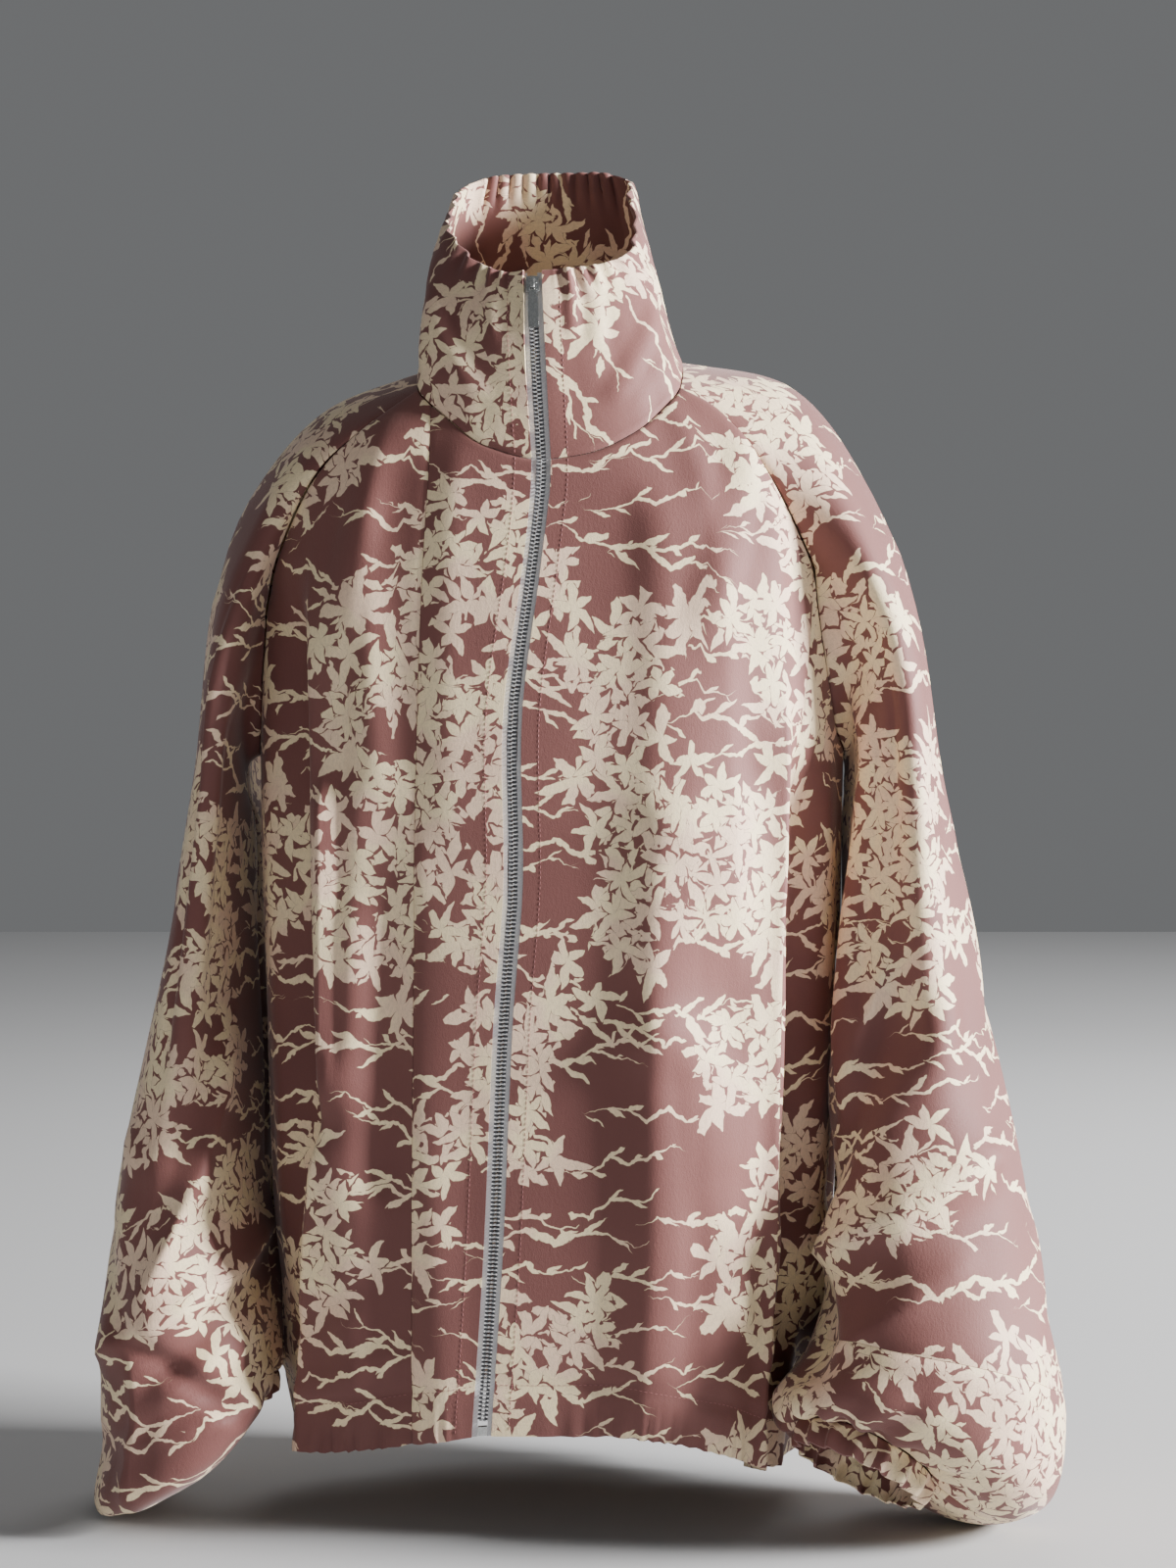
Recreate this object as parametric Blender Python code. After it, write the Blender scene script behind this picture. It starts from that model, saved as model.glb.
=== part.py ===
"""Zip-front raglan jacket in printed crepe, hollow and hanging as it is worn.

Metres, +Z up, +X towards the wearer's left, the front faces -Y. The origin is the
middle of the neck, level with the points where the shoulders meet the neck.
Every cloth panel is a thin closed wall: an outer grid of points, the same grid
moved inwards by the wall, and the rims between them.
"""
import math

import bpy
import bmesh
import numpy as np
from mathutils import Matrix, Vector

# Cloth and seams
WALL = 0.0013               # one layer of crepe with its seam allowances
COLLAR_WALL = 0.0022        # the collar is folded double
CUFF_WALL = 0.0022          # so is the casing at the wrist
HALF_GAP = 0.00015          # each piece stops this far from the middle of a seam
LAY_GAP = 0.0003            # between pieces that lie on each other

# Zip
EDGE_TO_ZIP = 0.0060        # front edge to the middle of the zip
TAPE_UNDER = 0.0070         # tape hidden behind the front edge
TAPE_WALL = 0.0010
CHAIN_HALF = 0.0029         # metal chain, half of its width
CHAIN_WALL = 0.0024
CHAIN_TO_TAPE = 0.0002
BOX_HEIGHT = 0.0062         # the metal box at the foot of the zip
SLIDER_CENTRE_BELOW_TOP = 0.0085

# Grids
FRONT_COLUMNS = 20          # centre front to underarm
NECK_COLUMN = 6             # where the raglan seam reaches the neck
BACK_COLUMNS = 19           # underarm to centre back
RAGLAN_COLUMNS = 14
SHOULDER_COLUMNS = 4        # the sleeve's short edge along the neck
BODY_ROWS = 15
RING_COLUMNS = 2 * RAGLAN_COLUMNS + SHOULDER_COLUMNS
RING_STEPS = 2              # sleeve rows between two key rings
COLLAR_ROWS = 7
CUFF_GATHERS = 16
CUFF_DEPTH = 0.018
CUFF_WAVE = 0.0022

LEFT, RIGHT = 1, -1         # the wearer's sides
SEAM_COLUMN = {LEFT: 13, RIGHT: 5}
EDGE_COLUMN = 10            # column of the right front that follows its fold's crest

# Columns where the raglan seams meet the neck, counted round one half of the body
FRONT_JOINT = NECK_COLUMN
BACK_JOINT = FRONT_COLUMNS + RAGLAN_COLUMNS
HALF_COLUMNS = FRONT_COLUMNS + BACK_COLUMNS
COLLAR_HALF = NECK_COLUMN + SHOULDER_COLUMNS + BACK_COLUMNS - RAGLAN_COLUMNS

# Level sections of the body: height, then how far it reaches to each side
BODY = {
    "z":     (0.040, 0.000, -0.018, -0.050, -0.085, -0.130, -0.200, -0.270,
              -0.360, -0.450, -0.550, -0.650, -0.730),
    "left":  (0.090, 0.112, 0.128, 0.160, 0.177, 0.186, 0.189, 0.188,
              0.187, 0.1855, 0.178, 0.159, 0.151),
    "right": (0.090, 0.112, 0.130, 0.165, 0.181, 0.189, 0.192, 0.192,
              0.190, 0.187, 0.181, 0.170, 0.164),
    "front": (0.060, 0.074, 0.083, 0.100, 0.108, 0.115, 0.121, 0.124,
              0.125, 0.124, 0.121, 0.116, 0.110),
    "back":  (0.066, 0.076, 0.084, 0.098, 0.108, 0.116, 0.123, 0.127,
              0.128, 0.127, 0.122, 0.116, 0.110),
}
SQUARENESS = 2.5            # 2 is an ellipse, more is boxier

# Lines down the front: height and distance from the middle, +X to the wearer's left
ZIP_LINE = {"z": (-0.069, -0.132, -0.234, -0.318, -0.419, -0.556, -0.670),
            "x": (-0.005, -0.015, -0.024, -0.0215, -0.028, -0.034, -0.0415)}
SEAM_LEFT = {"z": (-0.133, -0.208, -0.307, -0.393, -0.550, -0.715),
             "x": (0.168, 0.158, 0.1465, 0.1405, 0.1370, 0.1290)}
SEAM_RIGHT = {"z": (-0.030, -0.124, -0.306, -0.642, -0.700),
              "x": (-0.0745, -0.0806, -0.0828, -0.0852, -0.0860)}
EDGE_RIGHT = {"z": (-0.150, -0.240, -0.450, -0.530, -0.640, -0.700),
              "x": (-0.150, -0.1370, -0.1350, -0.1420, -0.1500, -0.1510)}

# The neck seam and the raglan seams: distance from the middle, and height
NECK_FRONT = {"x": (-0.0900, -0.0700, -0.0400, -0.0050, 0.0200, 0.0550, 0.0900),
              "z": (-0.0150, -0.0360, -0.0600, -0.0690, -0.0660, -0.0500, -0.0120)}
NECK_BACK = {"x": (0.0, 0.035, 0.070), "z": (0.022, 0.019, 0.006)}
RAGLAN_FRONT = {
    LEFT: {"x": (0.0815, 0.100, 0.117, 0.131, 0.145, 0.157, 0.168),
           "z": (-0.0195, -0.030, -0.047, -0.065, -0.086, -0.109, -0.133)},
    RIGHT: {"x": (0.083, 0.103, 0.121, 0.145, 0.162, 0.175, 0.183),
            "z": (-0.0205, -0.035, -0.048, -0.071, -0.099, -0.130, -0.160)},
}
RAGLAN_BACK = {"x": (0.066, 0.095, 0.125, 0.150, 0.170, 0.182),
               "z": (0.008, -0.020, -0.058, -0.105, -0.150, -0.195)}
UNDERARM_Z = -0.250
SIDE, CENTRE_BACK = 90.0, 180.0

# Hem height by bearing round the body, in degrees from the centre front
HEM = {"bearing": (-180, -120, -90, -55, -20, -8, 10, 35, 60, 90, 130, 180),
       "z": (-0.692, -0.692, -0.694, -0.690, -0.676, -0.671, -0.671, -0.684,
             -0.706, -0.715, -0.700, -0.692)}

# Folds of the body: a line from a to b, its rise outwards, how far it fades to the
# zip side and to the other side, and whether its crest is sharp
FRONT_FOLDS = (
    # x_a, z_a, x_b, z_b, rise, near, far, sharp
    (-0.148, -0.180, -0.1365, -0.415, 0.007, 0.036, 0.010, True),
    (-0.1360, -0.485, -0.1510, -0.720, 0.009, 0.044, 0.010, True),
    (-0.162, -0.200, -0.1535, -0.425, -0.016, 0.012, 0.026, False),
    (-0.1525, -0.495, -0.1600, -0.730, -0.014, 0.012, 0.022, False),
    (-0.0800, -0.090, -0.0830, -0.270, -0.003, 0.010, 0.016, False),
    (-0.104, -0.060, -0.1000, -0.300, 0.004, 0.018, 0.014, False),
    (0.1440, -0.260, 0.1400, -0.465, 0.009, 0.022, 0.010, True),
    (0.1385, -0.535, 0.1310, -0.740, 0.010, 0.022, 0.010, True),
    (0.1600, -0.300, 0.1560, -0.485, -0.017, 0.013, 0.022, False),
    (0.1540, -0.555, 0.1430, -0.740, -0.019, 0.013, 0.022, False),
    (0.0960, -0.030, 0.1240, -0.150, 0.006, 0.022, 0.020, False),
    (0.1240, -0.150, 0.1180, -0.330, 0.006, 0.022, 0.020, False),
    (0.1040, -0.060, 0.1300, -0.340, -0.004, 0.010, 0.014, False),
    (0.0840, -0.130, 0.0810, -0.235, 0.005, 0.026, 0.022, False),
    (0.0780, -0.305, 0.0660, -0.385, 0.007, 0.030, 0.024, False),
    (0.0630, -0.455, 0.0600, -0.640, 0.008, 0.032, 0.024, False),
    (-0.0550, -0.360, -0.0600, -0.660, 0.003, 0.018, 0.018, False),
)
BACK_FOLDS = (
    # x_a, z_a, x_b, z_b, rise, near, far, sharp
    (0.1500, -0.170, 0.1250, -0.660, 0.012, 0.020, 0.028, True),
    (-0.1520, -0.170, -0.1350, -0.650, 0.011, 0.020, 0.028, True),
    (0.0950, -0.240, 0.0820, -0.700, -0.009, 0.030, 0.026, False),
    (-0.0900, -0.220, -0.1050, -0.690, -0.008, 0.030, 0.026, False),
    (0.0350, -0.330, 0.0280, -0.720, 0.006, 0.030, 0.024, False),
    (-0.0380, -0.300, -0.0520, -0.700, 0.006, 0.028, 0.028, False),
    (0.1780, -0.330, 0.1720, -0.560, 0.008, 0.014, 0.012, False),
    (0.1720, -0.600, 0.1500, -0.730, 0.020, 0.020, 0.018, False),
    (-0.1680, -0.655, -0.1580, -0.730, 0.011, 0.018, 0.016, False),
)
FOLD_FADE = 0.07            # a fold runs out over this length past its ends
BODY_RADIUS = 0.155         # turns a bearing into a length round the body

# Sleeves: loops given at eight places round the arm, from the underarm by the front,
# the outside and the back, as (out, y, z)
SHOULDER_LOOPS = {
    LEFT: (
        ((0.1970, 0.000, -0.257), (0.1940, -0.052, -0.214), (0.1800, -0.077, -0.128),
         (0.1560, -0.064, -0.045), (0.1540, 0.000, -0.007), (0.1560, 0.060, -0.030),
         (0.1780, 0.076, -0.112), (0.1950, 0.054, -0.208)),
        ((0.1980, 0.000, -0.272), (0.2020, -0.062, -0.236), (0.2080, -0.086, -0.175),
         (0.2110, -0.064, -0.118), (0.2110, 0.000, -0.078), (0.2110, 0.062, -0.105),
         (0.2100, 0.089, -0.160), (0.2050, 0.066, -0.232)),
    ),
    RIGHT: (
        ((0.1995, 0.000, -0.257), (0.1975, -0.051, -0.216), (0.1840, -0.075, -0.138),
         (0.1560, -0.064, -0.060), (0.1500, 0.000, -0.024), (0.1560, 0.060, -0.042),
         (0.1800, 0.076, -0.118), (0.1980, 0.054, -0.208)),
        ((0.2005, 0.000, -0.272), (0.2030, -0.060, -0.238), (0.2040, -0.083, -0.182),
         (0.2000, -0.064, -0.128), (0.1985, 0.000, -0.080), (0.2010, 0.062, -0.110),
         (0.2060, 0.090, -0.165), (0.2060, 0.066, -0.234)),
    ),
}
# Rings of the arm: how far out the inner and outer sides are, the front and back,
# the height at each of those four places, and how far the inner side turns in behind
RING_COLUMN_NAMES = ("inner", "outer", "front", "back",
                     "z_inner", "z_front", "z_outer", "z_back", "turn")
ARM_RINGS = {
    LEFT: (
        (0.1965, 0.259, -0.084, 0.102, -0.292, -0.284, -0.274, -0.282, -0.06),
        (0.1945, 0.277, -0.090, 0.100, -0.364, -0.360, -0.358, -0.360, -0.26),
        (0.1910, 0.289, -0.104, 0.092, -0.442, -0.440, -0.440, -0.442, -0.36),
        (0.1860, 0.306, -0.122, 0.076, -0.522, -0.520, -0.530, -0.532, -0.36),
        (0.1770, 0.318, -0.142, 0.050, -0.584, -0.582, -0.610, -0.610, -0.22),
        (0.1615, 0.3225, -0.158, 0.022, -0.630, -0.626, -0.672, -0.674, -0.08),
        (0.1400, 0.308, -0.160, -0.008, -0.655, -0.652, -0.722, -0.722, 0.0),
        (0.1440, 0.274, -0.152, -0.050, -0.664, -0.661, -0.726, -0.722, 0.0),
    ),
    RIGHT: (
        (0.1975, 0.233, -0.074, 0.106, -0.292, -0.284, -0.274, -0.282, 0.10),
        (0.1950, 0.247, -0.078, 0.106, -0.364, -0.360, -0.358, -0.360, 0.15),
        (0.1925, 0.264, -0.085, 0.102, -0.442, -0.440, -0.440, -0.442, 0.16),
        (0.1890, 0.281, -0.096, 0.094, -0.522, -0.525, -0.530, -0.530, 0.14),
        (0.1860, 0.288, -0.106, 0.084, -0.580, -0.595, -0.600, -0.595, 0.10),
        (0.1800, 0.2915, -0.110, 0.074, -0.615, -0.655, -0.672, -0.650, -0.12),
        (0.1780, 0.290, -0.100, 0.056, -0.640, -0.702, -0.738, -0.694, -0.20),
        (0.1805, 0.266, -0.074, 0.034, -0.649, -0.706, -0.722, -0.694, -0.08),
    ),
}
RING_SQUARENESS = 2.2
# The wrist: centre of the seam between sleeve and casing, the way the hand comes
# out, the long way across, and the two half sizes
WRIST = {
    LEFT: {"centre": (0.1960, -0.1120, -0.6790), "facing": (-0.40, -0.50, -0.75),
           "across": (0.89, 0.0, -0.45), "long": 0.043, "short": 0.027},
    RIGHT: {"centre": (-0.2180, -0.0200, -0.6600), "facing": (0.30, 0.10, -0.95),
            "across": (-0.92, 0.0, -0.30), "long": 0.036, "short": 0.029},
}
# Folds of the sleeves: share of the way round from the underarm by the front
SLEEVE_FOLDS = {
    LEFT: (
        (0.120, -0.170, 0.125, -0.440, 0.008, 0.010, 0.030, True),
        (0.300, -0.140, 0.270, -0.440, 0.005, 0.020, 0.018, False),
        (0.215, -0.180, 0.200, -0.420, -0.005, 0.014, 0.016, False),
        (0.050, -0.570, 0.300, -0.514, 0.013, 0.011, 0.026, True),
        (0.060, -0.530, 0.240, -0.420, -0.009, 0.012, 0.020, False),
        (0.040, -0.585, 0.080, -0.630, -0.008, 0.012, 0.012, False),
        (0.640, -0.180, 0.600, -0.500, 0.006, 0.022, 0.022, False),
        (0.780, -0.200, 0.800, -0.560, 0.006, 0.024, 0.020, False),
        (0.620, -0.540, 0.860, -0.610, 0.007, 0.024, 0.018, True),
    ),
    RIGHT: (
        (0.250, -0.160, 0.230, -0.420, 0.004, 0.018, 0.014, False),
        (0.130, -0.465, 0.240, -0.560, 0.010, 0.026, 0.010, True),
        (0.060, -0.570, 0.320, -0.616, 0.013, 0.010, 0.026, True),
        (0.120, -0.640, 0.400, -0.690, -0.006, 0.014, 0.010, False),
        (0.640, -0.180, 0.610, -0.500, 0.006, 0.022, 0.022, False),
        (0.800, -0.200, 0.820, -0.560, 0.005, 0.022, 0.020, False),
        (0.620, -0.550, 0.860, -0.600, 0.007, 0.024, 0.018, True),
    ),
}
SLEEVE_GIRTH = 0.46         # turns a share round the arm into a length
PIECING_ROW_Z = -0.615      # level seam across the left sleeve's front panel

# Top edge of the collar by bearing round the neck
COLLAR_TOP = {
    "bearing": (-180, -150, -120, -90, -65, -40, -14, -4, 10, 35, 60, 90, 120, 150, 180),
    "x": (-0.004, -0.038, -0.060, -0.0685, -0.0640, -0.0440, -0.0220, -0.0110,
          0.0020, 0.0260, 0.0480, 0.0575, 0.0520, 0.0300, -0.004),
    "y": (0.056, 0.051, 0.030, -0.004, -0.036, -0.066, -0.083, -0.086,
          -0.086, -0.078, -0.052, -0.008, 0.030, 0.050, 0.056),
    "z": (0.148, 0.145, 0.132, 0.112, 0.090, 0.060, 0.051, 0.051,
          0.052, 0.056, 0.070, 0.108, 0.136, 0.147, 0.148),
}
COLLAR_BULGE = 0.006        # the standing collar is fuller half way up
NECK_SIDE = {LEFT: (0.0840, -0.002, 0.010), RIGHT: (-0.0830, -0.002, 0.004)}
COLLAR_FOLDS = (
    # bearing and height share of each end, rise, fade before and after, sharp
    (-62.0, 0.95, -40.0, 0.10, 0.0040, 0.012, 0.010, False),
    (-95.0, 1.00, -78.0, 0.15, -0.0030, 0.010, 0.010, False),
    (62.0, 1.00, 44.0, 0.20, 0.0035, 0.012, 0.010, False),
    (100.0, 1.00, 84.0, 0.10, -0.0040, 0.010, 0.012, False),
    (128.0, 0.95, 150.0, 0.15, 0.0040, 0.012, 0.012, False),
    (-130.0, 0.95, -150.0, 0.15, 0.0040, 0.012, 0.012, False),
)
COLLAR_RADIUS = 0.075
ZIP_TOP_X = -0.0110

COLOURS = {
    "crepe": (0.262, 0.092, 0.098), "tape": (0.52, 0.52, 0.53), "metal": (0.62, 0.62, 0.63),
}


# ---------------------------------------------------------------- curves and folds

def smooth_through(keys, values, at):
    """Value at `at` of a curve through the keys that never overshoots them."""
    keys = np.asarray(keys, float)
    values = np.asarray(values, float)
    if keys[0] > keys[-1]:
        keys, values = keys[::-1], values[::-1]
    at = min(max(float(at), keys[0]), keys[-1])
    i = int(min(max(np.searchsorted(keys, at) - 1, 0), len(keys) - 2))
    step = np.diff(keys)
    rise = np.diff(values) / step

    def slope(j):
        if j == 0:
            return rise[0]
        if j == len(keys) - 1:
            return rise[-1]
        before, after = rise[j - 1], rise[j]
        if before * after <= 0:
            return 0.0
        return 2 * before * after / (before + after)

    t = (at - keys[i]) / step[i]
    return (values[i] * (1 + 2 * t) * (1 - t) ** 2 + values[i + 1] * t * t * (3 - 2 * t)
            + step[i] * (slope(i) * t * (1 - t) ** 2 - slope(i + 1) * t * t * (1 - t)))


def smoothstep(t):
    t = min(max(t, 0.0), 1.0)
    return t * t * (3 - 2 * t)


def unit(v):
    v = np.asarray(v, float)
    return v / (np.linalg.norm(v) + 1e-12)


def fold_height(folds, along, z, fade=FOLD_FADE):
    """How far out the folds push a point that lies `along` round the cloth at z."""
    total = 0.0
    for a_at, a_z, b_at, b_z, rise, near, far, sharp in folds:
        run = np.array([b_at - a_at, b_z - a_z])
        length = np.linalg.norm(run)
        run = run / length
        offset = np.array([along - a_at, z - a_z])
        travelled = float(offset @ run)
        aside = float(offset[0] * -run[1] + offset[1] * run[0])
        reach = far if aside > 0 else near
        past = max(-travelled, travelled - length, 0.0)
        if past >= fade or abs(aside) >= 2.2 * reach:
            continue
        share = abs(aside) / (2.2 * reach)
        across = (1 - share) ** 2 if sharp else (1 - share * share) ** 2
        total += rise * across * smoothstep(1 - past / fade)
    return total


# ---------------------------------------------------------------- the body's surface

def body_section(z):
    reach = {}
    for name in ("left", "right", "front", "back"):
        reach[name] = smooth_through(BODY["z"], BODY[name], z)
    return reach


def bearing_at(x, z, back=False):
    """Bearing, in degrees from the centre front, of the point at x on a level."""
    reach = body_section(z)
    width = reach["left"] if x > 0 else reach["right"]
    share = min(abs(x) / width, 1.0) ** (SQUARENESS / 2)
    angle = math.degrees(math.asin(share))
    angle = 180.0 - angle if back else angle
    return angle if x >= 0 else -angle


def plain_body(bearing, z):
    reach = body_section(z)
    angle = math.radians(bearing)
    across, depth = math.sin(angle), math.cos(angle)
    width = reach["left"] if across > 0 else reach["right"]
    deep = reach["front"] if depth > 0 else reach["back"]
    power = 2 / SQUARENESS
    x = width * math.copysign(abs(across) ** power, across)
    y = -deep * math.copysign(abs(depth) ** power, depth)
    return np.array([x, y, z])


def folds_as_bearings(folds, back):
    """The fold table with its x values turned into lengths round the body."""
    rows = []
    for x_a, z_a, x_b, z_b, rise, near, far, sharp in folds:
        a = math.radians(bearing_at(x_a, max(z_a, -0.70), back)) * BODY_RADIUS
        b = math.radians(bearing_at(x_b, max(z_b, -0.70), back)) * BODY_RADIUS
        towards_left = x_a > 0
        # fold_height's "far" side lies to +along for a line that runs down
        first, second = (near, far) if towards_left != back else (far, near)
        rows.append((a, z_a, b, z_b, rise, first, second, sharp))
    return rows


BODY_FOLDS = folds_as_bearings(FRONT_FOLDS, False) + folds_as_bearings(BACK_FOLDS, True)


def body_point(bearing, z):
    point = plain_body(bearing, z)
    ahead = plain_body(bearing + 0.5, z) - plain_body(bearing - 0.5, z)
    outward = unit((ahead[1], -ahead[0], 0.0))
    rise = fold_height(BODY_FOLDS, math.radians(bearing) * BODY_RADIUS, z)
    calm = smoothstep((abs(bearing + 4) - 5) / 14)
    return point + outward * rise * calm


# ---------------------------------------------------------------- panel outlines

def zip_x(z):
    return smooth_through(ZIP_LINE["z"], ZIP_LINE["x"], z)


def line_bearing(line, z):
    return bearing_at(smooth_through(line["z"], line["x"], z), z)


def even_along(course, count):
    """`count` + 1 (bearing, z) pairs at even lengths along a (bearing, z) course."""
    fine = []
    for i in range(len(course) - 1):
        for k in range(12):
            t = k / 12
            fine.append(tuple(course[i][c] * (1 - t) + course[i + 1][c] * t for c in (0, 1)))
    fine.append(tuple(course[-1]))
    points = [plain_body(*pair) for pair in fine]
    lengths = [0.0]
    for i in range(1, len(points)):
        lengths.append(lengths[-1] + float(np.linalg.norm(points[i] - points[i - 1])))
    result = []
    for k in range(count + 1):
        goal = lengths[-1] * k / count
        result.append((float(np.interp(goal, lengths, [p[0] for p in fine])),
                       float(np.interp(goal, lengths, [p[1] for p in fine]))))
    return result


def raglan_course(side, back):
    table = RAGLAN_BACK if back else RAGLAN_FRONT[side]
    rounded = []
    for k in range(25):
        x = table["x"][0] + (table["x"][-1] - table["x"][0]) * k / 24
        z = smooth_through(table["x"], table["z"], x)
        rounded.append((bearing_at(side * x, z, back), z))
    turn = rounded[-1]
    for k in range(1, 9):
        t = k / 8
        z = turn[1] + (UNDERARM_Z - turn[1]) * math.sin(t * math.pi / 2)
        bearing = turn[0] + (side * SIDE - turn[0]) * (1 - math.cos(t * math.pi / 2)) ** 0.9
        rounded.append((bearing, z))
    return rounded


def neck_front_z(x):
    return smooth_through(NECK_FRONT["x"], NECK_FRONT["z"], x)


def front_tops(side):
    """Top (bearing, z) of each column of a front, from the zip to the underarm."""
    zip_edge = zip_x(-0.069) + side * EDGE_TO_ZIP
    course = raglan_course(side, False)
    joint = course[0]
    joint_x = plain_body(*joint)[0]
    tops = []
    if side == RIGHT:
        seam_x = SEAM_RIGHT["x"][0]
        marks = [zip_edge + (seam_x - zip_edge) * k / (NECK_COLUMN - 1)
                 for k in range(NECK_COLUMN)]
    else:
        marks = [zip_edge + (joint_x - zip_edge) * k / NECK_COLUMN
                 for k in range(NECK_COLUMN)]
    for x in marks:
        z = neck_front_z(x)
        tops.append((bearing_at(x, z), z))
    if side == LEFT:
        seam_at = 24                    # the seam leaves the raglan where its table ends
        upper = even_along(course[:seam_at + 1], SEAM_COLUMN[LEFT] - NECK_COLUMN)
        lower = even_along(course[seam_at:], FRONT_COLUMNS - SEAM_COLUMN[LEFT])
        tops += upper + lower[1:]
    else:
        tops += even_along(course, RAGLAN_COLUMNS)
    return tops


def back_tops(side):
    """Top (bearing, z) of each column of a back, from the underarm to the centre."""
    course = raglan_course(side, True)
    tops = even_along(course, RAGLAN_COLUMNS)[::-1]
    joint_x = abs(plain_body(*course[0])[0])
    rest = BACK_COLUMNS - RAGLAN_COLUMNS
    for k in range(1, rest + 1):
        x = joint_x * (1 - k / rest)
        z = smooth_through(NECK_BACK["x"], NECK_BACK["z"], x)
        z += (course[0][1] - smooth_through(NECK_BACK["x"], NECK_BACK["z"], joint_x)) * (x / joint_x)
        tops.append((side * (180.0 - abs(bearing_at(x, z))), z))
    return tops


def front_line_bearing(side, column, z):
    """Bearing that a front's column takes once it is clear of the armhole."""
    edge_z = min(z, -0.07)
    zip_bearing = bearing_at(zip_x(edge_z) + side * EDGE_TO_ZIP, edge_z)
    if side == LEFT:
        stops = ((0, zip_bearing), (SEAM_COLUMN[LEFT], line_bearing(SEAM_LEFT, z)),
                 (FRONT_COLUMNS, SIDE))
    else:
        stops = ((0, zip_bearing), (SEAM_COLUMN[RIGHT], line_bearing(SEAM_RIGHT, z)),
                 (EDGE_COLUMN, line_bearing(EDGE_RIGHT, z)), (FRONT_COLUMNS, -SIDE))
    return float(np.interp(column, [s[0] for s in stops], [s[1] for s in stops]))


def back_line_bearing(side, column, z):
    return side * (SIDE + (CENTRE_BACK - SIDE) * column / BACK_COLUMNS)


def body_grid(tops, line, side, first, last):
    """Rows of (bearing, z) from the top of a panel to its hem."""
    rows = []
    for r in range(BODY_ROWS + 1):
        down = (r / BODY_ROWS) ** 1.25
        row = []
        for column in range(first, last + 1):
            top_bearing, top_z = tops[column]
            back = abs(top_bearing) > SIDE
            top_x = plain_body(top_bearing, top_z)[0]
            hem_z = smooth_through(HEM["bearing"], HEM["z"], line(side, column, -0.70))
            z = top_z + (hem_z - top_z) * down
            settled = 1 - (1 - min(down / 0.40, 1.0)) ** 2
            # Near the top a column keeps its distance from the middle, not its bearing
            straight = smoothstep((abs(abs(top_bearing) - SIDE) - 2) / 14)
            below = bearing_at(top_x, z, back)
            start = top_bearing + (below - top_bearing) * straight
            bearing = start + (line(side, column, z) - start) * settled
            row.append((bearing, z))
        rows.append(row)
    return rows


# ---------------------------------------------------------------- walls

def grid_normals(points, closed):
    """Outward vertex normals of a grid of points, rows by columns."""
    points = np.asarray(points)
    rows, columns = points.shape[:2]
    normals = np.zeros_like(points)
    for r in range(rows):
        for c in range(columns):
            here = points[r, c]
            up, down = points[max(r - 1, 0), c], points[min(r + 1, rows - 1), c]
            if closed:
                ahead, behind = points[r, (c + 1) % columns], points[r, c - 1]
            else:
                ahead, behind = points[r, min(c + 1, columns - 1)], points[r, max(c - 1, 0)]
            across = unit(ahead - here) + unit(here - behind)
            normals[r, c] = unit(np.cross(across, unit(up - here) + unit(here - down)))
    return normals


def leaving(edge, inner, closed=False):
    """Unit directions from a seam edge into its piece, square to the seam's run."""
    count = len(edge)
    result = []
    for i in range(count):
        way = unit(inner[i] - edge[i])
        ahead, behind = (i + 1) % count if closed else min(i + 1, count - 1), i - 1
        behind = behind if closed else max(behind, 0)
        run = unit(edge[ahead] - edge[behind])
        result.append(unit(way - run * (way @ run)))
    return np.array(result)


def parted(way, *others):
    """The direction that takes a piece's edge away from the others it is sewn to."""
    return unit(np.asarray(way) - sum(others) / len(others))


def cloth_panel(name, points, normals, wall, away):
    """A wall from a grid. `away` gives, for each sewn edge, its vertices' ways back."""
    outer = np.array(points)
    through = -np.array(normals)
    places = {"top": (0, slice(None)), "foot": (-1, slice(None)),
              "start": (slice(None), 0), "end": (slice(None), -1)}
    for edge, ways in away.items():
        row, column = places[edge]
        ways = np.array(ways)
        outer[row, column] += ways * HALF_GAP
        lean = np.minimum((through[row, column] * ways).sum(axis=-1, keepdims=True), 0.0)
        turned = through[row, column] - ways * lean
        through[row, column] = turned / np.linalg.norm(turned, axis=-1, keepdims=True)
    wall_mesh(name, outer, outer + through * wall, False, "crepe")
    return outer, through


RIM_ORDER = Vector((0.31, 0.17, 1.0))


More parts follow.
